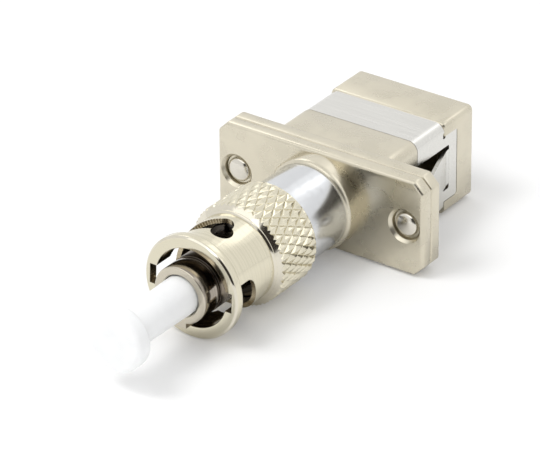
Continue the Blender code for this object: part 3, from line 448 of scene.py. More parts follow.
CAST = CastMetal("cast_nickel_skin", Slot.CAST, (0.65, 0.605, 0.49), 0.28)
# Painted shade: the dark colour of the pockets behind the clip's tongues.
POCKET_SHADE = CastMetal("pocket_painted_shade", Slot.CAST, (0.22, 0.19, 0.13), 0.45)
SLOTTED = TurnedMetal(
    "turned_nickel_rings", Slot.TURNED, (0.70, 0.655, 0.515), 0.14, pitch=0.09, depth=0.002, contrast=0.055
)
KNURLED = TurnedMetal(
    "knurled_nickel", Slot.TURNED, (0.715, 0.67, 0.53), 0.15, depth=0.002, contrast=0.04
)
# Polished chamfers and cone; on the dark nose's mouth chamfer the lighter colour is a painted highlight.
POLISH_AND_HIGHLIGHT = PolishedMetal("polished_edge_and_painted_highlight", Slot.TURNED, (0.68, 0.64, 0.54), 0.10, haze=0.05)
# Painted shade in the nut's bores; the strong contrast of its rings paints highlights of the turning steps.
BORE_SHADE = TurnedMetal(
    "bore_painted_shade", Slot.TURNED, (0.34, 0.29, 0.21), 0.18, pitch=0.6, depth=0.006, contrast=0.45
)
# Painted shade on the nose's shank inside the nut.
SHANK_SHADE = TurnedMetal(
    "shank_painted_shade", Slot.DARK, (0.20, 0.17, 0.135), 0.28, pitch=0.3, depth=0.004, contrast=0.3
)
# Painted shade on the walls inside the nut's slots.
SLOT_WALL_SHADE = TurnedMetal("slot_wall_painted_shade", Slot.TURNED, (0.42, 0.36, 0.25), 0.22, depth=0.002, contrast=0.1)
POLISHED = PolishedMetal("polished_tube_plating", Slot.POLISHED, (0.66, 0.67, 0.685), 0.17, haze=0.04)
# Lighter nose end: partly the faced end's own turning, partly painted light on the front face and the key.
NOSE_END_LIGHT = TurnedMetal("faced_nose_end_painted_light", Slot.DARK, (0.56, 0.515, 0.425), 0.2, depth=0.002, contrast=0.06)
DARK = TurnedMetal(
    "dark_nickel_turning", Slot.DARK, (0.36, 0.32, 0.27), 0.16, pitch=0.3, depth=0.003, contrast=0.25
)
RIVET = PolishedMetal("rivet_steel", Slot.STAINLESS, (0.66, 0.63, 0.56), 0.16)
STRIP = RolledMetal("bright_spring_strip", Slot.SPRING, (0.71, 0.70, 0.665), 0.24)
# Painted shade: steel washers and ferrule grip darkened where they sit inside the nut and body.
WASHER_SHADE = TurnedMetal("steel_washer_painted_shade", Slot.STAINLESS, (0.22, 0.21, 0.19), 0.34)
# Painted shade on the circlip inside the nut.
CIRCLIP_SHADE = RolledMetal("circlip_painted_shade", Slot.SPRING, (0.10, 0.09, 0.08), 0.36)
WIRE = RolledMetal("spring_wire", Slot.SPRING, (0.50, 0.49, 0.47), 0.22)
CERAMIC = MouldedPlastic("polished_ceramic", Slot.CERAMIC, (0.88, 0.86, 0.82), 0.16)
FIBRE = MouldedPlastic("fibre_end", Slot.GLASS, (0.72, 0.82, 0.86), 0.06)
INSERT = MouldedPlastic("moulded_insert", Slot.MOULDED, (0.84, 0.84, 0.81), 0.42)
SOFT_GLOW = (("Subsurface Weight", 0.4), ("Subsurface Radius", (1.0, 1.0, 1.0)), ("Subsurface Scale", 0.0006))
CAP_SKIN = MouldedPlastic("soft_cap_skin", Slot.CAP, (0.93, 0.94, 0.945), 0.34, fixed=SOFT_GLOW)


@dataclass(frozen=True)
class OpticalAxis:
    """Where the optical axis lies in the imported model."""

    shift: float
    height: float

    @classmethod
    def from_frame(cls, front_plate: float) -> "OpticalAxis":
        """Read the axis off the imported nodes.

        Args:
            front_plate: Thickness of the flange's front plate in millimetres.

        Returns:
            The axis, with its lengths in metres.
        """
        low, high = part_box("barrel_tube")
        height = (low[2] + high[2]) / 2
        _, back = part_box("front_housing")
        return cls(back[1] - front_plate * MM, height)

    def matrix(self) -> Matrix:
        """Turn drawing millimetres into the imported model's metres."""
        turn = Matrix.Rotation(math.pi / 2, 4, "X")
        return Matrix.Translation((0.0, self.shift, self.height)) @ turn @ Matrix.Scale(MM, 4)

    def point(self, x: float, y: float, z: float) -> Vector:
        """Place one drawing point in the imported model."""
        return self.matrix() @ Vector((x, y, z))


@dataclass(frozen=True)
class Corner:
    """A corner of a turned outline, with the size of the round that softens it."""

    radius: float
    z: float
    soft: float = 0.0


class Shape:
    """Makes and trims bmeshes in drawing millimetres."""

    @staticmethod
    def turned(corners: Sequence[Corner], steps: int, segments: int = 3) -> bmesh.types.BMesh:
        """Spin a closed outline round the axis.

        Args:
            corners: The outline, in order.
            steps: Steps of the full turn.
            segments: Segments of each softened corner.

        Returns:
            The turned shape.
        """
        bm = bmesh.new()
        ring = [bm.verts.new((corner.radius, 0.0, corner.z)) for corner in corners]
        joined = list(zip(ring, ring[1:] + ring[:1]))
        if corners[0].radius == 0.0 and corners[-1].radius == 0.0:
            joined.pop()
        for a, b in joined:
            bm.edges.new((a, b))
        for size in sorted({corner.soft for corner in corners if corner.soft > 0.0}):
            chosen = [vert for vert, corner in zip(ring, corners) if corner.soft == size]
            bmesh.ops.bevel(
                bm,
                geom=chosen,
                offset=size,
                offset_type="OFFSET",
                segments=segments,
                profile=0.5,
                affect="VERTICES",
                material=-1,
            )
        bmesh.ops.spin(
            bm,
            geom=[*bm.verts, *bm.edges],
            cent=(0.0, 0.0, 0.0),
            axis=(0.0, 0.0, 1.0),
            angle=2.0 * math.pi,
            steps=steps,
            use_merge=True,
        )
        return Shape.tidy(bm)

    @staticmethod
    def tidy(bm: bmesh.types.BMesh) -> bmesh.types.BMesh:
        """Merge doubles and turn every face outwards.

        Args:
            bm: The shape to mend.

        Returns:
            The same shape.
        """
        bmesh.ops.remove_doubles(bm, verts=bm.verts, dist=DOUBLES)
        bmesh.ops.recalc_face_normals(bm, faces=bm.faces)
        return bm

    @staticmethod
    def box(low: Sequence[float], high: Sequence[float]) -> bmesh.types.BMesh:
        """Make a box.

        Args:
            low: Its lowest corner.
            high: Its highest corner.

        Returns:
            The box.
        """
        bm = bmesh.new()
        bmesh.ops.create_cube(bm, size=1.0)
        bmesh.ops.scale(bm, vec=Vector(high) - Vector(low), verts=bm.verts)
        bmesh.ops.translate(bm, vec=(Vector(low) + Vector(high)) / 2, verts=bm.verts)
        return bm

    @staticmethod
    def along(bm: bmesh.types.BMesh, axis: Axis) -> list[bmesh.types.BMEdge]:
        """List the edges that run along one axis."""
        spans = [(edge, (edge.verts[0].co - edge.verts[1].co).normalized()) for edge in bm.edges]
        return [edge for edge, span in spans if abs(span[axis.value]) > PARALLEL]

    @staticmethod
    def level(bm: bmesh.types.BMesh, axis: Axis, value: float) -> list[bmesh.types.BMEdge]:
        """List the edges whose ends both lie on one plane."""
        return [e for e in bm.edges if all(abs(v.co[axis.value] - value) < NEAR for v in e.verts)]

    @staticmethod
    def soften(
        bm: bmesh.types.BMesh, edges: Iterable[bmesh.types.BMEdge], size: float, segments: int = 3
    ) -> bmesh.types.BMesh:
        """Bevel some edges of a shape.

        Args:
            bm: The shape.
            edges: Its edges to bevel.
            size: Width of the bevel.
            segments: Segments of the bevel.

        Returns:
            The same shape.
        """
        bmesh.ops.bevel(
            bm,
            geom=list(edges),
            offset=size,
            offset_type="OFFSET",
            segments=segments,
            profile=0.5,
            affect="EDGES",
            clamp_overlap=True,
            material=-1,
        )
        return bm

    @staticmethod
    def strip(line: Sequence[Point], low: float, high: float, axis: Axis) -> bmesh.types.BMesh:
        """Sweep a line in the other two axes along one axis.

        Args:
            line: Points in the two remaining axes, in their order.
            low: Start of the sweep.
            high: End of the sweep.
            axis: The axis to sweep along.

        Returns:
            An open strip of faces.
        """
        bm = bmesh.new()
        verts = []
        for first, second in line:
            place = [first, second]
            place.insert(axis.value, low)
            verts.append(bm.verts.new(place))
        edges = [bm.edges.new(pair) for pair in zip(verts, verts[1:])]
        grown = bmesh.ops.extrude_edge_only(bm, edges=edges)
        moved = [item for item in grown["geom"] if isinstance(item, bmesh.types.BMVert)]
        step = Vector((0.0, 0.0, 0.0))
        step[axis.value] = high - low
        bmesh.ops.translate(bm, vec=step, verts=moved)
        bmesh.ops.recalc_face_normals(bm, faces=bm.faces)
        return bm

    @staticmethod
    def thick(bm: bmesh.types.BMesh, thickness: float) -> bmesh.types.BMesh:
        """Give an open strip its thickness, half to each side.

        Args:
            bm: The strip.
            thickness: Thickness of its wall.

        Returns:
            The closed shape.
        """
        for vert in bm.verts:
            vert.co -= vert.normal * thickness / 2
        bmesh.ops.solidify(bm, geom=bm.faces[:], thickness=-thickness)
        return Shape.tidy(bm)

    @staticmethod
    def shift(bm: bmesh.types.BMesh, offset: Sequence[float]) -> bmesh.types.BMesh:
        """Move a shape and return it."""
        bmesh.ops.translate(bm, vec=Vector(offset), verts=bm.verts)
        return bm

    @staticmethod
    def turn(bm: bmesh.types.BMesh, angle: float) -> bmesh.types.BMesh:
        """Turn a shape round the optical axis and return it."""
        bmesh.ops.rotate(bm, matrix=Matrix.Rotation(angle, 3, "Z"), verts=bm.verts)
        return bm

    @staticmethod
    def combine(
        base: bmesh.types.BMesh, tools: Sequence[bmesh.types.BMesh], operation: str
    ) -> bmesh.types.BMesh:
        """Cut tools out of a shape, or join them to it, with exact Booleans.

        Args:
            base: The shape to work on.
            tools: The shapes to cut or join.
            operation: DIFFERENCE or UNION.

        Returns:
            The resulting shape.
        """
        held = [Shape.temporary(bm) for bm in (base, *tools)]
        for tool in held[1:]:
            step = held[0].modifiers.new("step", "BOOLEAN")
            step.operation = operation
            step.solver = "EXACT"
            step.object = tool
        graph = bpy.context.evaluated_depsgraph_get()
        result = bmesh.new()
        result.from_mesh(held[0].evaluated_get(graph).to_mesh())
        for item in held:
            mesh = item.data
            bpy.data.objects.remove(item, do_unlink=True)
            bpy.data.meshes.remove(mesh)
        return result

    @staticmethod
    def temporary(bm: bmesh.types.BMesh) -> bpy.types.Object:
        """Put a shape into the scene for as long as a Boolean needs it.

        Args:
            bm: The shape, which is freed.

        Returns:
            Its object.
        """
        mesh = bpy.data.meshes.new("temporary")
        bm.to_mesh(mesh)
        bm.free()
        item = bpy.data.objects.new("temporary", mesh)
        bpy.context.scene.collection.objects.link(item)
        return item

    @staticmethod
    def grow(
        bm: bmesh.types.BMesh, face: bmesh.types.BMFace, first: bool
    ) -> tuple[bmesh.types.BMFace, list[bmesh.types.BMVert]]:
        """Extrude the end face of a swept rod for its next step.

        Args:
            bm: The rod.
            face: Its end face.
            first: Whether this is the first step, which keeps that face as the rod's cap.

        Returns:
            The new end face, and its vertices.
        """
        grown = bmesh.ops.extrude_face_region(bm, geom=[face])["geom"]
        verts = [item for item in grown if isinstance(item, bmesh.types.BMVert)]
        end = next(item for item in grown if isinstance(item, bmesh.types.BMFace))
        if not first:
            bmesh.ops.delete(bm, geom=[face], context="FACES_ONLY")
        return end, verts


@dataclass(frozen=True)
class Zone:
    """Faces of a piece that have a finish of their own."""

    finish: Finish
    where: Callable[[Vector, Vector], bool]


def arc(centre: Point, radius: float, start: float, end: float, steps: int) -> list[Point]:
    """Points of an arc.

    Args:
        centre: The arc's centre.
        radius: The arc's radius.
        start: First angle in degrees.
        end: Last angle in degrees.
        steps: Steps between the two.

    Returns:
        The points, in order.
    """
    angles = [math.radians(start + (end - start) * index / steps) for index in range(steps + 1)]
    return [(centre[0] + radius * math.cos(a), centre[1] + radius * math.sin(a)) for a in angles]


def looks_inwards(centre: Vector, normal: Vector) -> bool:
    """Whether a face looks at the optical axis."""
    return normal.xy.dot(centre.xy) < INWARD * centre.xy.length


@dataclass
class Bench:
    """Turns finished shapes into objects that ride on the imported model."""

    axis: OpticalAxis
    nodes: Mapping[str, bpy.types.Object]
    made: list[bpy.types.Object] = field(default_factory=list)

    def piece(
        self,
        name: str,
        bm: bmesh.types.BMesh,
        finish: Finish,
        body: Body,
        nodes: Sequence[str] = (),
        crease: float = 32.0,
        bound: bool = True,
        zones: Sequence[Zone] = (),
    ) -> bpy.types.Object:
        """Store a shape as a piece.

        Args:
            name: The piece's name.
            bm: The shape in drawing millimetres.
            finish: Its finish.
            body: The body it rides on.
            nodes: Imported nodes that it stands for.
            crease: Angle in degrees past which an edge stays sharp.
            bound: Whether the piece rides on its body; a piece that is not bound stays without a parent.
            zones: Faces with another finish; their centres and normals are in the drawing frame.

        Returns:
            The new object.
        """
        for face in bm.faces:
            centre = face.calc_center_median()
            found = [index for index, zone in enumerate(zones, 1) if zone.where(centre, face.normal)]
            face.material_index = found[0] if found else 0
        bm.transform(self.axis.matrix())
        mesh = bpy.data.meshes.new(name)
        bm.to_mesh(mesh)
        bm.free()
        item = self.dress(bpy.data.objects.new(name, mesh), finish, body, nodes, crease, bound)
        for zone in zones:
            item.data.materials.append(zone.finish.material())
        return item

    def dress(
        self,
        item: bpy.types.Object,
        finish: Finish,
        body: Body,
        nodes: Sequence[str],
        crease: float,
        bound: bool = True,
    ) -> bpy.types.Object:
        """Link an object, smooth it, give it its finish and let it ride.

        Args:
            item: The object.
            finish: Its finish.
            body: The body it rides on.
            nodes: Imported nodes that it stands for.
            crease: Angle in degrees past which an edge stays sharp.
            bound: Whether it rides on its body.

        Returns:
            The same object.
        """
        item.data.shade_smooth()
        item.data.set_sharp_from_angle(angle=math.radians(crease))
        item.data.materials.append(finish.material())
        bpy.context.scene.collection.objects.link(item)
        if bound:
            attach(item, body.value)
        if nodes:
            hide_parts(*nodes)
        self.made.append(item)
        LOG.info("%s on %s: %d faces", item.name, body.value, len(item.data.polygons))
        return item

    def refined(
        self, node: str, name: str, finish: Finish, body: Body, soft: float = 0.0
    ) -> bpy.types.Object:
        """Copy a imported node, merge its triangles and soften its edges.

        Args:
            node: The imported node.
            name: The new piece's name.
            finish: Its finish.
            body: The body it rides on.
            soft: Width of the softened edges in millimetres, or 0.

        Returns:
            The new object.
        """
        bm = bmesh.new()
        bm.from_mesh(self.nodes[node].data)
        bmesh.ops.remove_doubles(bm, verts=bm.verts, dist=PACKED_DOUBLES)
        bmesh.ops.dissolve_limit(bm, angle_limit=math.radians(1.0), verts=bm.verts, edges=bm.edges)
        for face in bm.faces:
            face.material_index = 0
        mesh = bpy.data.meshes.new(name)
        bm.to_mesh(mesh)
        bm.free()
        item = self.dress(bpy.data.objects.new(name, mesh), finish, body, (node,), crease=30.0)
        if soft:
            bevel = item.modifiers.new("soft_edges", "BEVEL")
            bevel.width = soft * MM
            bevel.segments = 2
            bevel.limit_method = "ANGLE"
            bevel.angle_limit = math.radians(35.0)
        return item


@dataclass
class Flange:
    """Front casting with its boss, and the two rivets."""

    width: float = 22.0
    height: float = 9.3
    front: float = 1.3
    corner: float = 1.0
    corner_round: float = 0.12
    edge: float = 0.32
    seam: float = 0.16
    boss_radius: float = 4.42
    boss_length: float = 1.8
    boss_rim: float = 0.5
    boss_root: float = 0.4
    bore: float = 4.12
    grip: float = 0.015
    seat: float = -0.58
    through: float = 2.57
    rivet_inset: float = 2.0
    recess_radius: float = 1.4
    recess_depth: float = 0.68
    recess_mouth: float = 0.28
    recess_overcut: Point = (0.05, 0.03)
    recess_rounds: tuple[float, float, float] = (0.02, 0.06, 0.1)
    head_radius: float = 1.15
    head_rim: float = 0.2
    crown: float = 0.45
    shank: float = 0.8
    shank_hole: float = 0.82
    tail_radius: float = 1.2
    tail_height: float = 0.4
    tail_round: float = 0.08
    rear_plate: float = 1.33

    @property
    def rivet_x(self) -> float:
        """Distance of a rivet from the optical axis."""
        return self.width / 2 - self.rivet_inset

    def plate(self, front: float, back: float, edge: float) -> bmesh.types.BMesh:
        """Make one plate of the flange with cut corners and soft rims.

        Args:
            front: Height of its front face.
            back: Height of its back face.
            edge: Width of the softened front rim.

        Returns:
            The plate.
        """
        half_width, half_height = self.width / 2, self.height / 2
        bm = Shape.box((-half_width, -half_height, back), (half_width, half_height, front))
        Shape.soften(bm, Shape.along(bm, Axis.Z), self.corner, segments=1)
        Shape.soften(bm, Shape.along(bm, Axis.Z), self.corner_round, segments=2)
        Shape.soften(bm, Shape.level(bm, Axis.Z, front), edge)
        Shape.soften(bm, Shape.level(bm, Axis.Z, back), self.seam, segments=2)
        return bm

    def boss(self) -> bmesh.types.BMesh:
        """Make the boss with its rounded front ring, cut flat above and below.

        Returns:
            The boss.
        """
        inner, length = self.bore - self.boss_root, self.boss_length
        bm = Shape.turned(
            [
                Corner(inner, length),
                Corner(self.boss_radius, length, self.boss_rim),
                Corner(self.boss_radius, -self.boss_root),
                Corner(inner, -self.boss_root),
            ],
            steps=160,
            segments=6,
        )
        flat = self.height / 2 - NIP
        slab = Shape.box((-FAR, -flat, -REACH), (FAR, flat, length + REACH))
        return Shape.combine(bm, [slab], "INTERSECT")

    def bores(self) -> list[bmesh.types.BMesh]:
        """Make the cutters of the tube's seat and of the two rivet recesses.

        Returns:
            The cutters.
        """
        top, deep = self.boss_length + REACH, -self.front - REACH
        hole = self.bore - self.grip
        cutters = [
            Shape.turned(
                [
                    Corner(0.0, top),
                    Corner(hole, top),
                    Corner(hole, self.seat),
                    Corner(self.through, self.seat),
                    Corner(self.through, deep),
                    Corner(0.0, deep),
                ],
                steps=160,
            )
        ]
        mouth = self.recess_radius + self.recess_mouth
        over, rise = self.recess_overcut
        edge, lip, floor = self.recess_rounds
        for side in (-1, 1):
            recess = Shape.turned(
                [
                    Corner(0.0, REACH),
                    Corner(mouth + over, REACH),
                    Corner(mouth + over, rise),
                    Corner(mouth, 0.0, edge),
                    Corner(self.recess_radius, -self.recess_mouth, lip),
                    Corner(self.recess_radius, -self.recess_depth, floor),
                    Corner(self.shank_hole, -self.recess_depth),
                    Corner(self.shank_hole, deep),
                    Corner(0.0, deep),
                ],
                steps=64,
            )
            cutters.append(Shape.shift(recess, (side * self.rivet_x, 0.0, 0.0)))
        return cutters

    def rivet(self, side: int) -> bmesh.types.BMesh:
        """Make one rivet with its crowned head and its tail.

        Args:
            side: -1 for the left rivet, 1 for the right one.

        Returns:
            The rivet.
        """
        seat = PLAY - self.recess_depth
        rim = seat + self.head_rim
        back = -self.front - self.rear_plate
        dome = arc((0.0, 0.0), 1.0, 90.0, 0.0, steps=12)
        crown = [Corner(self.head_radius * x, rim + self.crown * y) for x, y in dome]
        crown[0] = Corner(0.0, rim + self.crown)
        tail = [
            Corner(self.head_radius, seat),
            Corner(self.shank, seat),
            Corner(self.shank, back + self.tail_height),
            Corner(self.tail_radius, back + self.tail_height),
            Corner(self.tail_radius, back + PLAY, self.tail_round),
            Corner(0.0, back + PLAY),
        ]
        return Shape.shift(Shape.turned(crown + tail, steps=64), (side * self.rivet_x, 0.0, 0.0))

    def build(self, bench: Bench) -> None:
        """Add the front casting and the rivets.

        Args:
            bench: Where the pieces are finished.
        """
        body = Shape.combine(self.plate(0.0, -self.front, self.edge), [self.boss()], "UNION")
        body = Shape.combine(body, self.bores(), "DIFFERENCE")
        bench.piece("flange_and_boss", body, CAST, Body.FIXED, ["front_housing"])
        for side, label in ((-1, "left"), (1, "right")):
            bench.piece(f"crowned_rivet_{label}", self.rivet(side), RIVET, Body.FIXED, [f"rivet_{label}"])


@dataclass
class SpringClip:
    """Strap of spring steel with a flared tongue on each side."""

    half_width: float = 5.995
    half_height: float = 4.365
    thickness: float = 0.35
    front: float = -6.4
    top_length: float = 4.3
    side_length: float = 6.35
    corner: float = 0.8
    foot: float = 1.3
    side_height: float = 6.6
    relief: float = 0.4
    tongue_width: float = 3.5
    tongue_slit: float = 0.45
    tongue_root: float = 1.25
    tongue_length: float = 7.0
    tongue_tip: float = 0.8
    tongue_angle: float = math.radians(19.0)
    slit_round: float = 0.2
    notch_round: float = 0.15
    tongue_bend: float = 0.9
    bend_steps: int = 6
    tongue_grip: float = 0.1
    tip_ease: float = 0.3
    knee_dip: float = 0.05
    tip_dip: float = 0.08

    @property
    def slit_half(self) -> float:
        """Half the width of a tongue's window."""
        return self.tongue_width / 2 + self.tongue_slit

    @property
    def tongue_start(self) -> float:
        """Height of a tongue's root."""
        return self.front - self.side_length + self.tongue_root

    def strap(self) -> bmesh.types.BMesh:
        """Bend the strap over the body, from foot to foot, and give it its thickness.

        Returns:
            The strap.
        """
        x, y, bend = self.half_width, self.half_height, self.corner
        right = arc((x - bend, y - bend), bend, 90.0, 0.0, steps=10)
        right += arc((x - bend, bend - y), bend, 0.0, -90.0, steps=10)
        right.append((x - self.foot, -y))
        left = [(-px, py) for px, py in reversed(right)]
        bm = Shape.strip(left + right, self.front - self.side_length, self.front, Axis.Z)
        return Shape.thick(bm, self.thickness)

    def windows(self) -> list[bmesh.types.BMesh]:
        """Make the cutters that trim the strap and free its tongues.

        Returns:
            The cutters.
        """
        reach, high = self.half_width + 2.0 * REACH, self.half_height + 2.0 * REACH
        half_side, ease = self.side_height / 2, self.relief / 2
        top_back = self.front - self.top_length
        back = self.front - self.side_length - REACH
        window = self.slit_half
        notch = Shape.box(
            (-reach, half_side - ease, top_back - ease),
            (reach, half_side + self.relief, top_back + ease),
        )
        slit = Shape.box((-reach, -window, self.tongue_start), (reach, window, self.front + REACH))
        return [
            Shape.box((-reach, half_side, back), (reach, high, top_back)),
            Shape.box((-reach, -high, back), (reach, -half_side, top_back)),
            Shape.soften(slit, Shape.along(slit, Axis.X), self.slit_round),
            Shape.soften(notch, Shape.along(notch, Axis.X), self.notch_round),
        ]

    def tongue(self, side: int) -> bmesh.types.BMesh:
        """Make one tongue, bent outwards at its root and turned in at its tip.

        Args:
            side: -1 for the left tongue, 1 for the right one.

        Returns:
            The tongue.
        """
        half, slope, ease = self.half_width, math.tan(self.tongue_angle), self.tip_ease
        start, bend, steps = self.tongue_start - self.tongue_grip, self.tongue_bend, self.bend_steps
        knee = self.tongue_start + self.tongue_length - self.tongue_tip
        line = [(half, self.tongue_start - self.tongue_root / 2), (half, start)]
        for step in range(1, steps + 1):
            line.append((half + slope * bend * (step / steps) ** 2 / 2, start + bend * step / steps))
        out = line[-1][0] + slope * (knee - line[-1][1])
        line.append((out - slope * ease, knee - ease))
        line.append((out - slope * self.knee_dip, knee))
        line.append((out - self.tip_dip, knee + ease))
        line.append((out - self.tongue_tip * slope, knee + self.tongue_tip))
        half_tongue = self.tongue_width / 2
        bm = Shape.strip([(side * x, z) for x, z in line], -half_tongue, half_tongue, Axis.Y)
        return Shape.thick(bm, self.thickness - NIP)

    def build(self, bench: Bench) -> None:
        """Add the strap with its tongues.

        Args:
            bench: Where the piece is finished.
        """
        strap = Shape.combine(self.strap(), self.windows(), "DIFFERENCE")
        strap = Shape.combine(strap, [self.tongue(-1), self.tongue(1)], "UNION")
        bench.piece("strap_clip", strap, STRIP, Body.FIXED, ["spring_clip"])


@dataclass
class SocketBody:
    """Rear casting with the square port, and the moulded insert inside it."""

    flange: Flange
    clip: SpringClip
    half_width: float = 6.2
    half_height: float = 4.57
    back: float = -15.3
    plate_front: float = -1.33
    plate_back: float = -2.63
    overlap: float = 0.6
    front_block: float = 3.745
    front_round: float = 1.0
    front_edge: float = 0.1
    strap_gap: float = 0.05
    core_width: float = 5.79
    core_height: float = 4.16
    core_round: float = 0.625
    foot_gap: float = 0.1
    sole_bite: float = 0.2
    rear_round: float = 0.5
    rear_lip: float = 0.35
    upper: float = 0.8
    rear_edge: float = 0.14
    port_width: float = 4.5
    port_height: float = 3.7
    port_mouth: float = 0.22
    insert_side: float = 0.7
    insert_top: float = 0.22
    insert_round: float = 0.44
    key_width: float = 1.1
    key_depth: float = 0.5
    key_top: float = -1.85
    key_stop: float = 1.5
    recess_round: float = 0.25
    pocket_floor: float = -2.89
    pocket_depth: float = 0.9
    pocket_lip: float = 0.1
    tail_room: float = 0.43
    tail_bore: float = 1.22
    tail_mouth: float = 1.34
    tail_chamfer: float = 0.06

    def blocks(self) -> list[bmesh.types.BMesh]:
        """Make the front block, the core with its sole and the rear block.

        Returns:
            The four blocks.
        """
        wide, high, overlap = self.half_width, self.half_height, self.overlap
        front_end = self.plate_back - self.front_block
        rear_start = front_end - self.clip.top_length - self.strap_gap
        front = Shape.box((-wide, -high, front_end), (wide, high, self.plate_back + overlap))
        Shape.soften(front, Shape.along(front, Axis.Z), self.front_round, segments=8)
        Shape.soften(front, Shape.level(front, Axis.Z, front_end), self.front_edge, segments=2)
        core = Shape.box(
            (-self.core_width, -self.core_height, rear_start - overlap),
            (self.core_width, self.core_height, front_end + overlap),
        )
        Shape.soften(core, Shape.along(core, Axis.Z), self.core_round, segments=6)
        foot = self.core_width - self.clip.foot - self.foot_gap
        sole = Shape.box(
            (-foot, PLAY - high, rear_start - overlap),
            (foot, self.sole_bite - self.core_height, front_end + overlap),
        )
        rear = Shape.box((-wide, -high, self.back), (wide, high, rear_start))
        Shape.soften(rear, Shape.along(rear, Axis.Z), self.rear_round, segments=5)
        rim = Shape.level(rear, Axis.Z, rear_start)
        top = [edge for edge in rim if min(vert.co.y for vert in edge.verts) > high * self.upper]
        Shape.soften(rear, top, self.rear_lip)
        Shape.soften(rear, Shape.level(rear, Axis.Z, self.back), self.rear_edge)
        return [front, core, sole, rear]

    def port(self) -> bmesh.types.BMesh:
        """Make the port's cutter with its widened mouth.

        Returns:
            The cutter.
        """
        bm = Shape.box(
            (-self.port_width, -self.port_height, self.back - self.port_mouth),
            (self.port_width, self.port_height, self.plate_front + REACH),
        )
        bmesh.ops.bisect_plane(
            bm,
            geom=[*bm.verts, *bm.edges, *bm.faces],
            plane_co=(0.0, 0.0, self.back + self.port_mouth),
            plane_no=(0.0, 0.0, 1.0),
        )
        for vert in bm.verts:
            if vert.co.z < self.back:
                vert.co.x += math.copysign(2 * self.port_mouth, vert.co.x)
                vert.co.y += math.copysign(2 * self.port_mouth, vert.co.y)
        return bm

    def tail_seat(self, side: int) -> bmesh.types.BMesh:
        """Make the cutter of one rivet's hole behind the flange.

        Args:
            side: -1 for the left rivet, 1 for the right one.

        Returns:
            The cutter.
        """
        top, back, ease = self.plate_front + REACH, self.plate_back, self.tail_chamfer
        seat = Shape.turned(
            [
                Corner(0.0, top),
                Corner(self.flange.shank_hole, top),
                Corner(self.flange.shank_hole, back + self.tail_room),
                Corner(self.tail_bore, back + self.tail_room),
                Corner(self.tail_bore, back + ease),
                Corner(self.tail_mouth, back - ease),
                Corner(self.tail_mouth, back - REACH),
                Corner(0.0, back - REACH),
            ],
            steps=48,
        )
        return Shape.shift(seat, (side * self.flange.rivet_x, 0.0, 0.0))

    def cutters(self) -> list[bmesh.types.BMesh]:
        """Make the cutters of the port, the insert's pocket, the keyway and the clip's recesses.

        Returns:
            The cutters.
        """
        side, high = self.port_width + self.insert_side, self.port_height + self.insert_top
        pocket = Shape.box((-side, -high, self.pocket_floor), (side, high, self.plate_front + REACH))
        keyway = Shape.box(
            (-self.key_width, -self.port_height - self.key_depth, self.back - REACH),
            (self.key_width, self.key_top, self.pocket_floor - self.key_stop),
        )
        clip = self.clip
        half, window = clip.side_height / 2 + PLAY, clip.slit_half
        strap_back = clip.front - clip.side_length - PLAY
        made = [self.port(), Shape.soften(pocket, Shape.along(pocket, Axis.Z), self.insert_round), keyway]
        for side in (-1, 1):
            x = sorted((side * (self.core_width - NIP), side * FAR))
            recess = Shape.box((x[0], -half, strap_back), (x[1], half, clip.front))
            made.append(Shape.soften(recess, Shape.along(recess, Axis.X), self.recess_round, segments=4))
            x = sorted((side * (self.core_width - self.pocket_depth), side * FAR))
            lip = clip.front - self.pocket_lip
            made.append(Shape.box((x[0], -window, clip.tongue_start), (x[1], window, lip)))
            made.append(self.tail_seat(side))
        return made

    def zones(self) -> list[Zone]:
        """Paint the pockets behind the tongues dark, as painted shade.

        Returns:
            The zone of the pockets.
        """

        def pocket(centre: Vector, normal: Vector) -> bool:
            """Whether a face lies in a pocket behind a tongue."""
            deep = self.core_width - self.pocket_depth - NIP < abs(centre.x) < self.core_width - PLAY
            return deep and abs(centre.y) < self.clip.slit_half + NIP and centre.z < self.clip.front - MARGIN

        return [Zone(POCKET_SHADE, pocket)]

    def build(self, bench: Bench) -> None:
        """Add the rear casting and the insert.

        Args:
            bench: Where the pieces are finished.
        """
        plate = self.flange.plate(self.plate_front, self.plate_back, self.flange.seam)
        body = Shape.combine(plate, self.blocks(), "UNION")
        body = Shape.combine(body, self.cutters(), "DIFFERENCE")
        zones = self.zones()
        bench.piece("square_socket", body, CAST, Body.FIXED, ["socket_housing"], zones=zones)
        bench.refined("latch_holder", "latch_insert", INSERT, Body.FIXED, soft=0.05)


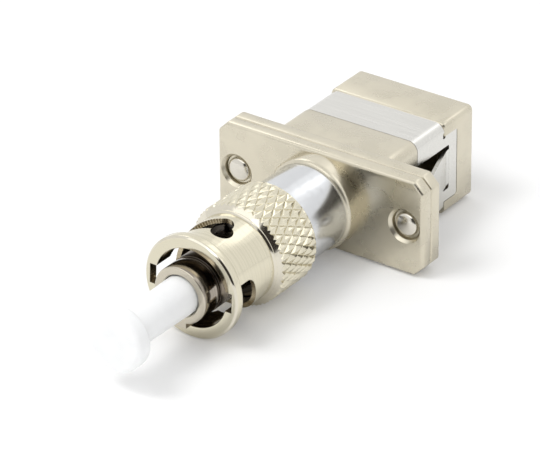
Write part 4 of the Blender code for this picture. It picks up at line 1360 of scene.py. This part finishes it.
@dataclass
class Nose:
    """Polished tube, keyed nose and the circlip pack on it."""

    tube_radius: float = 4.1
    tube_front: float = 8.62
    tube_back: float = -0.55
    tube_step: float = 4.01
    tube_bore: float = 2.42
    radius: float = 2.68
    bore: float = 1.9
    front: float = 20.9
    shoulder: float = 8.65
    shank_radius: float = 2.4
    shank_back: float = 4.77
    groove_front: float = 19.0
    groove_width: float = 0.45
    groove_depth: float = 0.25
    key_width: float = 1.2
    key_height: float = 0.45
    key_length: float = 2.4
    circlip_back: float = 12.84
    circlip_thickness: float = 0.36
    circlip_width: float = 0.9
    circlip_depth: float = 0.35
    tube_lip: float = 0.2
    tube_foot: float = 0.1
    tube_rear_bore: float = 2.07
    mouth: float = 0.13
    mouth_slope: float = 0.2
    rim: float = 0.16
    groove_lip: float = 0.05
    groove_floor: float = 0.08
    circlip_lip: float = 0.03
    circlip_round: float = 0.06
    circlip_gap: float = 0.8
    key_sink: float = 0.39
    key_round: float = 0.1
    face_depth: float = 0.3
    washer_radius: float = 3.65
    washer_play: float = 0.08
    washer_round: float = 0.03
    front_washer: Point = (12.51, 0.3)
    rear_washer: Point = (9.23, 0.22)

    def tube(self) -> bmesh.types.BMesh:
        """Turn the polished tube.

        Returns:
            The tube.
        """
        return Shape.turned(
            [
                Corner(self.tube_bore, self.tube_front),
                Corner(self.tube_radius, self.tube_front, self.tube_lip),
                Corner(self.tube_radius, self.tube_back, self.tube_foot),
                Corner(self.tube_rear_bore, self.tube_back),
                Corner(self.tube_rear_bore, self.tube_step),
                Corner(self.tube_bore, self.tube_step),
            ],
            steps=192,
        )

    def keyed(self) -> bmesh.types.BMesh:
        """Turn the nose and join its key.

        Returns:
            The nose.
        """
        groove_back = self.groove_front - self.groove_width
        clip_back = self.circlip_back - PLAY
        clip_front = self.circlip_back + self.circlip_thickness + PLAY
        groove, inner = self.radius - self.groove_depth, self.radius - self.circlip_depth
        lip, floor = self.groove_lip, self.groove_floor
        body = Shape.turned(
            [
                Corner(self.bore, self.front - self.mouth),
                Corner(self.bore + self.mouth, self.front),
                Corner(self.radius, self.front, self.rim),
                Corner(self.radius, self.groove_front, lip),
                Corner(groove, self.groove_front, floor),
                Corner(groove, groove_back, floor),
                Corner(self.radius, groove_back, lip),
                Corner(self.radius, clip_front, self.circlip_lip),
                Corner(inner, clip_front),
                Corner(inner, clip_back),
                Corner(self.radius, clip_back, self.circlip_lip),
                Corner(self.radius, self.shoulder),
                Corner(self.shank_radius, self.shoulder),
                Corner(self.shank_radius, self.shank_back),
                Corner(self.bore, self.shank_back),
            ],
            steps=144,
        )
        key = Shape.box(
            (-self.key_width / 2, -self.radius - self.key_height, self.front - self.key_length),
            (self.key_width / 2, -self.bore - self.key_sink, self.front - NIP),
        )
        Shape.soften(key, [*Shape.along(key, Axis.Z), *Shape.along(key, Axis.X)], self.key_round)
        return Shape.combine(body, [key], "UNION")

    def nose_zones(self) -> list[Zone]:
        """Paint the nose's mouth chamfer with a painted highlight, its front face and key lighter, partly as
        painted light, and its shank darker as painted shade.

        Returns:
            The zones, the first of which wins.
        """

        def lit(centre: Vector, normal: Vector) -> bool:
            """Whether a face belongs to the front ring or to the key."""
            face = centre.z > self.front - self.face_depth and normal.z > FORWARD
            return face or (centre.y < -self.radius - NIP and centre.z > self.front - self.key_length)

        def rim(centre: Vector, normal: Vector) -> bool:
            """Whether a face belongs to the chamfer at the mouth of the bore."""
            near = centre.z > self.front - self.face_depth and normal.z > self.mouth_slope
            return near and centre.xy.length < self.bore + self.mouth

        def shank(centre: Vector, normal: Vector) -> bool:
            """Whether a face lies behind the groove, inside the nut."""
            return centre.z < self.groove_front - 2 * MARGIN

        return [Zone(POLISH_AND_HIGHLIGHT, rim), Zone(NOSE_END_LIGHT, lit), Zone(SHANK_SHADE, shank)]

    def circlip(self) -> bmesh.types.BMesh:
        """Turn the circlip and open its mouth.

        Returns:
            The circlip.
        """
        inner = self.radius - self.circlip_depth + PLAY
        outer = inner + self.circlip_width
        back, front = self.circlip_back, self.circlip_back + self.circlip_thickness
        ring = Shape.turned(
            [
                Corner(inner, front),
                Corner(outer, front, self.circlip_round),
                Corner(outer, back, self.circlip_round),
                Corner(inner, back),
            ],
            steps=96,
        )
        gap = self.circlip_gap
        mouth = Shape.box((-gap, 0.0, back - REACH), (gap, FAR, front + REACH))
        return Shape.combine(ring, [mouth], "DIFFERENCE")

    def washer(self, back: float, thickness: float) -> bmesh.types.BMesh:
        """Turn a washer that runs on the nose inside the nut.

        Args:
            back: Height of its back face.
            thickness: Its thickness.

        Returns:
            The washer.
        """
        inner, outer, front = self.radius + self.washer_play, self.washer_radius, back + thickness
        return Shape.turned(
            [
                Corner(inner, front),
                Corner(outer, front, self.washer_round),
                Corner(outer, back, self.washer_round),
                Corner(inner, back),
            ],
            steps=96,
        )

    def build(self, bench: Bench) -> None:
        """Add the tube, the nose, the circlip and the two washers.

        Args:
            bench: Where the pieces are finished.
        """
        bench.piece("polished_tube", self.tube(), POLISHED, Body.FIXED, ["barrel_tube"])
        zones = self.nose_zones()
        bench.piece("keyed_plug_nose", self.keyed(), DARK, Body.FIXED, ["keyed_nose"], zones=zones)
        bench.piece("nose_circlip", self.circlip(), CIRCLIP_SHADE, Body.FIXED, ["circlip"])
        front, rear = self.washer(*self.front_washer), self.washer(*self.rear_washer)
        bench.piece("front_washer", front, WASHER_SHADE, Body.FIXED, ["thrust_washer"])
        bench.piece("rear_washer", rear, WASHER_SHADE, Body.CARRIER, ["slip_washer"])


@dataclass
class BayonetNut:
    """Slotted sleeve, knurled collar and the spring behind them."""

    back: float = 7.05
    front: float = 19.3
    bore: float = 3.73
    tube_radius: float = 4.16
    lip_radius: float = 4.86
    lip_width: float = 0.75
    lip_chamfer: float = 0.17
    chamfer_slopes: Point = (0.25, 0.95)
    slot_width: float = 1.9
    slot_bite: float = 0.15
    slot_start: float = 2.65
    slot_rise: float = 1.95
    slot_sweep: float = math.radians(87.5)
    end_radius: float = 1.05
    end_past: float = math.radians(1.0)
    detent_radius: float = 1.0
    detent_back: float = 0.9
    detent_past: float = math.radians(10.0)
    turned_by: float = math.radians(-2.3)
    starts: int = 32
    knurl_angle: float = math.radians(28.5)
    knurl_depth: float = 0.17
    knurl_length: float = 4.8
    facets: tuple[Point, ...] = ((0.25, 0.13), (0.14, 0.05))
    crest: float = 4.85
    rear_chamfer: float = 0.4
    cone_run: float = 0.58
    cone_land: float = 0.2
    skirt_bore: float = 4.18
    shoulder_back: float = 8.65
    shoulder_front: float = 9.2
    shoulder_bore: float = 2.76
    ridge: float = 0.06
    ridge_count: int = 24
    lip_rounds: tuple[float, float, float, float, float] = (0.06, 0.03, 0.04, 0.08, 0.1)
    sleeve_overlap: float = 0.3
    cutter_sink: float = 0.5
    mill_play: float = 0.01
    collar_play: float = 0.05
    land_half: float = 0.03
    land_round: float = 0.012
    rear_drop: float = 0.16
    wall_reach: float = 0.2
    wall_rim: float = 0.12
    wire: float = 0.2
    coil_radius: float = 3.205
    coil_back: float = 9.48
    coil_length: float = 2.6
    coil_turns: float = 3.0
    coil_steps: int = 28
    coil_ease: float = 0.6

    @property
    def knurl_front(self) -> float:
        """Height of the knurl's front edge."""
        return self.back + self.rear_chamfer + self.knurl_length

    @property
    def cut(self) -> Point:
        """Inner and outer radius of a cutter through the sleeve's wall."""
        return self.bore - self.cutter_sink, self.tube_radius + self.slot_bite

    def sleeve(self) -> bmesh.types.BMesh:
        """Turn the slotted sleeve with its lip, from the front down to the step before the cone.

        Returns:
            The sleeve, not yet slotted.
        """
        lip_back = self.front - self.lip_chamfer - self.lip_width
        end = self.knurl_front + self.cone_run - self.sleeve_overlap
        mouth, face, edge, heel, root = self.lip_rounds
        return Shape.turned(
            [
                Corner(self.bore, self.front, mouth),
                Corner(self.lip_radius - self.lip_chamfer, self.front, face),
                Corner(self.lip_radius, self.front - self.lip_chamfer, edge),
                Corner(self.lip_radius, lip_back, heel),
                Corner(self.tube_radius, lip_back, root),
                Corner(self.tube_radius, end),
                Corner(self.bore, end),
            ],
            steps=256,
        )

    def slot_point(self, angle: float, radius: float, z: float, side: int) -> Vector:
        """Place a point of a slot; the second slot is the first one turned by half a turn."""
        turn = angle + self.turned_by + (math.pi if side else 0.0)
        return Vector((radius * math.cos(turn), radius * math.sin(turn), z))

    def ramp(self, side: int) -> bmesh.types.BMesh:
        """Sweep the helical slot's cutter; its flanks carry the milling ridges.

        Args:
            side: 0 or 1 for the two slots.

        Returns:
            The closed cutter.
        """
        inner, outer = self.cut
        start = self.front - self.slot_start
        lean = math.atan(self.slot_rise / (self.slot_sweep * self.tube_radius))
        bm = bmesh.new()
        first: list[bmesh.types.BMVert] = []
        for radius, edge in ((inner, -1), (outer, -1), (outer, 1), (inner, 1)):
            across = edge * self.slot_width / 2
            turn = -across * math.sin(lean) / self.tube_radius
            first.append(bm.verts.new(self.slot_point(turn, radius, start + across * math.cos(lean), side)))
        face = bm.faces.new(first)
        count = self.ridge_count * 2
        for step in range(1, count + 1):
            face, verts = Shape.grow(bm, face, first=step == 1)
            bmesh.ops.rotate(bm, matrix=Matrix.Rotation(-self.slot_sweep / count, 3, "Z"), verts=verts)
            bmesh.ops.translate(bm, vec=(0.0, 0.0, -self.slot_rise / count), verts=verts)
            middle = sum(vert.co.z for vert in verts) / 4
            push = self.ridge if step % 2 else -self.ridge
            for vert in verts:
                vert.co.z += push if vert.co.z > middle else -push
        return Shape.tidy(bm)

    def mill(self, angle: float, z: float, radius: float, side: int) -> bmesh.types.BMesh:
        """Make a radial cylinder through the sleeve's wall.

        Args:
            angle: Its place round the axis, from the slot's entry.
            z: Its height.
            radius: Its radius.
            side: 0 or 1 for the two slots.

        Returns:
            The cutter.
        """
        inner, outer = self.cut
        bm = bmesh.new()
        bmesh.ops.create_cone(
            bm, cap_ends=True, segments=56, radius1=radius, radius2=radius, depth=outer - inner
        )
        bmesh.ops.rotate(bm, matrix=Matrix.Rotation(math.pi / 2, 3, "Y"), verts=bm.verts)
        Shape.shift(bm, ((inner + outer) / 2, 0.0, z))
        return Shape.turn(bm, angle + self.turned_by + (math.pi if side else 0.0))

    def slots(self) -> list[bmesh.types.BMesh]:
        """Make the cutters of both slots: entry, start, ramp, end and detent.

        Returns:
            The cutters.
        """
        inner, outer = self.cut
        start = self.front - self.slot_start
        end = start - self.slot_rise
        half = self.slot_width / 2
        made = []
        for side in (0, 1):
            entry = Shape.box((inner, -half, start), (outer, half, self.front + REACH))
            made.append(Shape.turn(entry, self.turned_by + (math.pi if side else 0.0)))
            made.append(self.mill(0.0, start, half + self.mill_play, side))
            made.append(self.ramp(side))
            made.append(self.mill(-self.slot_sweep - self.end_past, end, self.end_radius, side))
            turn = -self.slot_sweep - self.detent_past
            made.append(self.mill(turn, end + self.detent_back, self.detent_radius, side))
        return made

    def collar_blank(self) -> bmesh.types.BMesh:
        """Turn the collar with its polished cone, before knurling.

        Returns:
            The blank.
        """
        front, end = self.knurl_front, self.knurl_front + self.cone_run
        slope = self.cone_run / (self.crest - self.tube_radius)
        land, land_z = self.tube_radius + self.cone_land, end - self.cone_land * slope
        inner = self.bore + self.collar_play
        return Shape.turned(
            [
                Corner(inner, end - NIP),
                Corner(self.tube_radius - NIP, end - NIP),
                Corner(self.tube_radius, end),
                Corner(land, land_z + self.land_half, self.land_round),
                Corner(land, land_z - self.land_half, self.land_round),
                Corner(self.crest, front),
                Corner(self.crest, self.back + self.rear_chamfer),
                Corner(self.crest - self.rear_chamfer / 2 - self.rear_drop, self.back),
                Corner(self.skirt_bore, self.back),
                Corner(self.skirt_bore, self.shoulder_back),
                Corner(self.shoulder_bore, self.shoulder_back),
                Corner(self.shoulder_bore, self.shoulder_front),
                Corner(inner, self.shoulder_front),
            ],
            steps=192,
        )

    def knurled_rod(self) -> bmesh.types.BMesh:
        """Roll a solid rod with a diamond knurl whose rows are staggered where they meet the cone.

        Returns:
            The rod.
        """
        lean = math.tan(self.knurl_angle) / self.crest
        pitch = 2.0 * math.pi / self.starts
        rise = pitch / (2.0 * lean)
        rows = math.ceil((self.knurl_front - self.back) / rise) + 2
        low = self.knurl_front - (rows - 0.5) * rise
        root = self.crest - self.knurl_depth
        bm = bmesh.new()

        def crossing(first: int, second: int) -> Vector:
            """Where two grooves cross."""
            turn = -(first + second) * pitch / 2.0
            return Vector((root * math.cos(turn), root * math.sin(turn), low + (second - first) * rise))

        edge = bm.edges.new([bm.verts.new(crossing(1, band)) for band in (0, 1)])
        for step in range(1, rows + 5):
            grown = bmesh.ops.extrude_edge_only(bm, edges=[edge])["geom"]
            edge = next(item for item in grown if isinstance(item, bmesh.types.BMEdge))
            verts = [item for item in grown if isinstance(item, bmesh.types.BMVert)]
            for vert in verts:
                band = 0 if (vert.co - crossing(2 - step, 0)).length < NEAR else 1
                vert.co = crossing(1 - step, band)
        bmesh.ops.spin(
            bm,
            geom=[*bm.verts, *bm.edges, *bm.faces],
            axis=(0.0, 0.0, 1.0),
            angle=2.0 * math.pi * (self.starts - 1) / self.starts,
            steps=self.starts - 1,
            use_duplicate=True,
        )
        Shape.tidy(bm)
        faces = bm.faces[:]
        for width, height in self.facets:
            bmesh.ops.inset_individual(bm, faces=faces, thickness=width, depth=height)
        for height, outwards in ((low + rise, -1.0), (low + (rows + 2) * rise, 1.0)):
            bmesh.ops.bisect_plane(
                bm,
                geom=[*bm.verts, *bm.edges, *bm.faces],
                plane_co=(0.0, 0.0, height),
                plane_no=(0.0, 0.0, outwards),
                clear_outer=True,
            )
        bmesh.ops.holes_fill(bm, edges=[edge for edge in bm.edges if edge.is_boundary], sides=0)
        bmesh.ops.recalc_face_normals(bm, faces=bm.faces)
        return bm

    def sleeve_zones(self) -> list[Zone]:
        """Give the chamfer a polished finish, and paint shade into the bore and onto the slots' walls.

        Returns:
            The zones, the first of which wins.
        """
        outer = self.tube_radius + self.wall_reach
        low, high = self.knurl_front + REACH, self.front - self.wall_rim

        def chamfer(centre: Vector, normal: Vector) -> bool:
            """Whether a face lies on the lip's front chamfer."""
            near = centre.z > self.front - self.lip_chamfer - 2 * MARGIN
            return near and self.chamfer_slopes[0] < normal.z < self.chamfer_slopes[1]

        def wall(centre: Vector, normal: Vector) -> bool:
            """Whether a face stands across the sleeve's wall inside a slot."""
            across = abs(normal.xy.dot(centre.xy)) < ACROSS * centre.xy.length
            return across and self.bore < centre.xy.length < outer and low < centre.z < high

        return [Zone(POLISH_AND_HIGHLIGHT, chamfer), Zone(BORE_SHADE, looks_inwards), Zone(SLOT_WALL_SHADE, wall)]

    def collar_zones(self) -> list[Zone]:
        """Give the cone a polished finish, and paint shade into the bores.

        Returns:
            The zones, the first of which wins.
        """

        def cone(centre: Vector, normal: Vector) -> bool:
            """Whether a face lies on the polished cone."""
            outwards = normal.xy.dot(centre.xy) > 0.0 and normal.z > FORWARD
            return outwards and centre.z > self.knurl_front - MARGIN

        return [Zone(POLISH_AND_HIGHLIGHT, cone), Zone(BORE_SHADE, looks_inwards)]

    def spring(self) -> bmesh.types.BMesh:
        """Sweep the coil spring round the nose, with its end coils closer.

        Returns:
            The spring.
        """
        bm = bmesh.new()
        bmesh.ops.create_circle(bm, cap_ends=True, radius=self.wire, segments=12)
        bmesh.ops.rotate(bm, matrix=Matrix.Rotation(math.pi / 2, 3, "X"), verts=bm.verts)
        Shape.shift(bm, (self.coil_radius, 0.0, self.coil_back + self.wire))
        steps = round(self.coil_turns * self.coil_steps)
        turn = Matrix.Rotation(2.0 * math.pi * self.coil_turns / steps, 3, "Z")
        face = next(iter(bm.faces))
        done = 0.0
        for step in range(1, steps + 1):
            share = step / steps
            rise = share - self.coil_ease * math.sin(2.0 * math.pi * share) / (2.0 * math.pi)
            face, verts = Shape.grow(bm, face, first=step == 1)
            bmesh.ops.rotate(bm, matrix=turn, verts=verts)
            bmesh.ops.translate(bm, vec=(0.0, 0.0, self.coil_length * (rise - done)), verts=verts)
            done = rise
        return Shape.tidy(bm)

    def build(self, bench: Bench) -> None:
        """Add the sleeve, the collar and the spring.

        Args:
            bench: Where the pieces are finished.
        """
        sleeve = Shape.combine(self.sleeve(), self.slots(), "DIFFERENCE")
        bench.piece("slotted_sleeve", sleeve, SLOTTED, Body.NUT, ["bayonet_nut"], zones=self.sleeve_zones())
        collar = Shape.combine(self.collar_blank(), [self.knurled_rod()], "INTERSECT")
        bench.piece("knurled_collar", collar, KNURLED, Body.NUT, crease=24.0, zones=self.collar_zones())
        coil = bench.piece("return_spring", self.spring(), WIRE, Body.FIXED, ["nut_spring"], bound=False)
        bench.axis.point(0.0, 0.0, 12.45)
        bench.axis.point(0.0, 0.0, 9.5)
        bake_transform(coil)


@dataclass
class FibreCore:
    """Ferrules, stub, holder, alignment sleeve and its carrier."""

    ferrule: float = 1.25
    tip: float = 28.4
    front_length: float = 12.8
    rear_length: float = 8.8
    mating: float = -1.3
    hole: float = 0.1
    taper: float = 0.15
    taper_run: float = 0.3
    end_round: float = 0.04
    taper_round: float = 0.08

    def ferrule_shape(self, front: float, back: float) -> bmesh.types.BMesh:
        """Turn one ferrule with polished, slightly tapered ends.

        Args:
            front: Height of its front end.
            back: Height of its back end.

        Returns:
            The ferrule.
        """
        end = self.ferrule - self.taper
        return Shape.turned(
            [
                Corner(self.hole, front),
                Corner(end, front, self.end_round),
                Corner(self.ferrule, front - self.taper_run, self.taper_round),
                Corner(self.ferrule, back + self.taper_run, self.taper_round),
                Corner(end, back, self.end_round),
                Corner(self.hole, back),
            ],
            steps=96,
        )

    def build(self, bench: Bench) -> None:
        """Add the pieces of the optical core.

        Args:
            bench: Where the pieces are finished.
        """
        front = self.ferrule_shape(self.tip, self.tip - self.front_length)
        bench.piece("plug_ferrule", front, CERAMIC, Body.FIXED, ["front_ferrule"])
        rear = self.ferrule_shape(self.mating + self.rear_length, self.mating)
        bench.piece("socket_ferrule", rear, CERAMIC, Body.FIXED, ["rear_ferrule"])
        bench.refined("fibre_stub", "glass_stub", FIBRE, Body.FIXED)
        bench.refined("ferrule_holder", "ferrule_grip", WASHER_SHADE, Body.FIXED)
        bench.refined("alignment_sleeve", "split_sleeve", CERAMIC, Body.FIXED)
        bench.refined("sleeve_retainer", "sleeve_carrier", INSERT, Body.FIXED)


@dataclass
class DustCap:
    """Push-on cap over the front ferrule."""

    stem: float = 1.82
    bore: float = 1.27
    mouth: float = 18.7
    nose_front: float = 20.9
    head_radius: float = 2.9
    head_back: float = 28.65
    front: float = 30.4
    taper: float = 0.1
    floor: float = 28.75
    head_round: float = 0.5
    back_round: float = 0.45
    neck_round: float = 0.3
    mouth_round: float = 0.08

    def build(self, bench: Bench) -> None:
        """Turn the cap.

        Args:
            bench: Where the piece is finished.
        """
        cap = Shape.turned(
            [
                Corner(0.0, self.front),
                Corner(self.head_radius, self.front, self.head_round),
                Corner(self.head_radius, self.head_back, self.back_round),
                Corner(self.stem - self.taper, self.head_back, self.neck_round),
                Corner(self.stem, self.nose_front),
                Corner(self.stem, self.mouth, self.mouth_round),
                Corner(self.bore, self.mouth, self.mouth_round),
                Corner(self.bore, self.floor),
                Corner(0.0, self.floor),
            ],
            steps=144,
            segments=6,
        )
        bench.piece("push_on_cap", cap, CAP_SKIN, Body.CAP, ["dust_cap"], crease=50.0)


@dataclass(frozen=True)
class SoftBox:
    """An area light aimed at the middle of the adapter; sizes in metres, angles in degrees."""

    name: str
    azimuth: float
    elevation: float
    width: float
    height: float
    power: float
    mirrored: bool = True
    distance: float = 0.5

    def add(self, target: Vector) -> None:
        """Hang the light round a target.

        Args:
            target: The point that it shines at.
        """
        turn, lift = math.radians(self.azimuth), math.radians(self.elevation)
        away = Vector((math.sin(turn) * math.cos(lift), -math.cos(turn) * math.cos(lift), math.sin(lift)))
        data = bpy.data.lights.new(self.name, "AREA")
        data.shape = "RECTANGLE"
        data.size, data.size_y = self.width, self.height
        data.energy = self.power
        lamp = bpy.data.objects.new(self.name, data)
        lamp.location = target + away * self.distance
        lamp.rotation_mode = "QUATERNION"
        lamp.rotation_quaternion = (-away).to_track_quat("-Z", "Y")
        lamp.visible_glossy = self.mirrored
        bpy.context.scene.collection.objects.link(lamp)


@dataclass
class Studio:
    """White sweep, soft lights and the camera."""

    axis: OpticalAxis
    azimuth: float = math.radians(35.4871)
    elevation: float = math.radians(29.0725)
    roll: float = -0.0099449
    aside: float = 4.35355
    above: float = 2.35541
    distance: float = 383.153
    focal: float = 4332.65
    frame_width: float = 540.0
    sweep: float = 0.6
    ambient: float = 0.68
    opening_at: tuple[float, float, float] = (0.601, -0.756, 0.259)
    opening_size: float = math.radians(29.6)
    opening_blur: float = 0.06
    opening_color: tuple[float, float, float, float] = (0.045, 0.04, 0.036, 1.0)
    white: tuple[float, float, float, float] = (1.0, 1.0, 1.0, 1.0)
    paper_color: tuple[float, float, float, float] = (0.98, 0.98, 0.98, 1.0)
    paper_glow: float = 0.14
    lights: tuple[SoftBox, ...] = (
        SoftBox("front_key", -26.0, 52.0, 0.32, 0.26, 0.14),
        SoftBox("front_strip", 14.0, 46.0, 0.19, 0.15, 0.12),
        SoftBox("left_bank", -119.0, 40.0, 0.23, 0.22, 0.18),
        SoftBox("right_bank", 122.0, 52.0, 0.24, 0.22, 0.12),
        SoftBox("left_fill", -40.0, 60.0, 0.20, 0.20, 0.85, mirrored=False),
        SoftBox("rear_bank", 176.0, 44.0, 0.34, 0.17, 0.040),
        SoftBox("rear_strip", 174.0, 44.0, 0.14, 0.14, 0.030),
    )

    def camera(self) -> None:
        """Set up the camera that the flange's known sizes gave."""
        a, e = self.azimuth, self.elevation
        back = Vector((math.sin(a) * math.cos(e), -math.cos(a) * math.cos(e), math.sin(e)))
        right = Vector((math.cos(a), math.sin(a), 0.0))
        up = back.cross(right)
        across = math.cos(self.roll) * right + math.sin(self.roll) * up
        upright = math.cos(self.roll) * up - math.sin(self.roll) * right
        eye = back * self.distance - across * self.aside - upright * self.above
        data = bpy.data.cameras.new("camera")
        data.sensor_width = 36.0
        data.lens = data.sensor_width * self.focal / self.frame_width
        data.clip_start, data.clip_end = 0.01, 10.0
        item = bpy.data.objects.new("camera", data)
        turn = Matrix((across, upright, back)).transposed().to_4x4()
        centre = Vector((0.0, self.axis.shift, self.axis.height))
        item.matrix_world = Matrix.Translation(eye * MM + centre) @ turn
        bpy.context.scene.collection.objects.link(item)
        bpy.context.scene.camera = item

    @staticmethod
    def seen(graph: Graph) -> Wire:
        """Make a mask that is 1 for rays that show the background: camera, glossy and transmission.

        Args:
            graph: The world's graph.

        Returns:
            The mask.
        """
        path = graph.node("ShaderNodeLightPath")
        camera = graph.out(path, "Is Camera Ray")
        return camera.top(graph.out(path, "Is Glossy Ray")).top(graph.out(path, "Is Transmission Ray"))

    def floor(self) -> None:
        """Lay a pale floor that keeps the adapter's shadow and fades to white."""
        bm = bmesh.new()
        bmesh.ops.create_circle(bm, cap_ends=True, radius=self.sweep, segments=96)
        mesh = bpy.data.meshes.new("floor")
        bm.to_mesh(mesh)
        bm.free()
        item = bpy.data.objects.new("floor", mesh)
        bpy.context.scene.collection.objects.link(item)
        material = bpy.data.materials.new("floor_white")
        material.use_nodes = True
        graph = Graph(material.node_tree)
        paper = graph.node("ShaderNodeBsdfDiffuse", None, {"Color": self.paper_color})
        glow = graph.node("ShaderNodeEmission", None, {"Color": self.white, "Strength": 1.0})
        camera = graph.out(graph.node("ShaderNodeLightPath"), "Is Camera Ray")
        mixed = graph.blended(camera * self.paper_glow, graph.out(paper), graph.out(glow))
        graph.node("ShaderNodeOutputMaterial", None, {"Surface": mixed})
        mesh.materials.append(material)

    def world(self) -> None:
        """Light evenly from all round, and show white behind the adapter and in its reflections."""
        made = bpy.data.worlds.new("studio")
        bpy.context.scene.world = made
        made.use_nodes = True
        graph = Graph(made.node_tree)

        def backdrop(color: Sequence[float], strength: float) -> Wire:
            """Add a plain background."""
            return graph.out(graph.node("ShaderNodeBackground", None, {"Color": color, "Strength": strength}))

        room, white = backdrop(self.white, self.ambient), backdrop(self.white, 1.0)
        direction = graph.out(graph.node("ShaderNodeTexCoord"), "Generated")
        along = {0: direction, 1: self.opening_at}
        toward = graph.node("ShaderNodeVectorMath", {"operation": "DOT_PRODUCT"}, along)
        blur = self.opening_blur
        rim, core = (math.cos(self.opening_size * (1.0 + share)) for share in (blur, -blur))
        inside = graph.ramp(graph.out(toward, "Value"), rim, core)
        glossy = graph.out(graph.node("ShaderNodeLightPath"), "Is Glossy Ray")
        sky = graph.blended(self.seen(graph), room, white)
        both = graph.blended(glossy * inside, sky, backdrop(self.opening_color, 1.0))
        graph.node("ShaderNodeOutputWorld", None, {"Surface": both})

    def build(self) -> None:
        """Add the floor, the world, the lights and the camera."""
        self.floor()
        self.world()
        middle = Vector((0.0, 0.0, self.axis.height))
        for light in self.lights:
            light.add(middle)
        self.camera()
        bpy.context.scene.view_settings.view_transform = "Standard"


def main() -> None:
    """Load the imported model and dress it."""
    logging.basicConfig(level=logging.INFO, format="%(name)s: %(message)s")
    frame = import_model()
    flange = Flange()
    axis = OpticalAxis.from_frame(flange.front)
    bench = Bench(axis, frame["nodes"])
    clip = SpringClip()
    flange.build(bench)
    SocketBody(flange, clip).build(bench)
    clip.build(bench)
    Nose().build(bench)
    BayonetNut().build(bench)
    FibreCore().build(bench)
    DustCap().build(bench)
    Studio(axis).build()
    LOG.info("%d pieces made", len(bench.made))


if __name__ == "__main__":
    main()
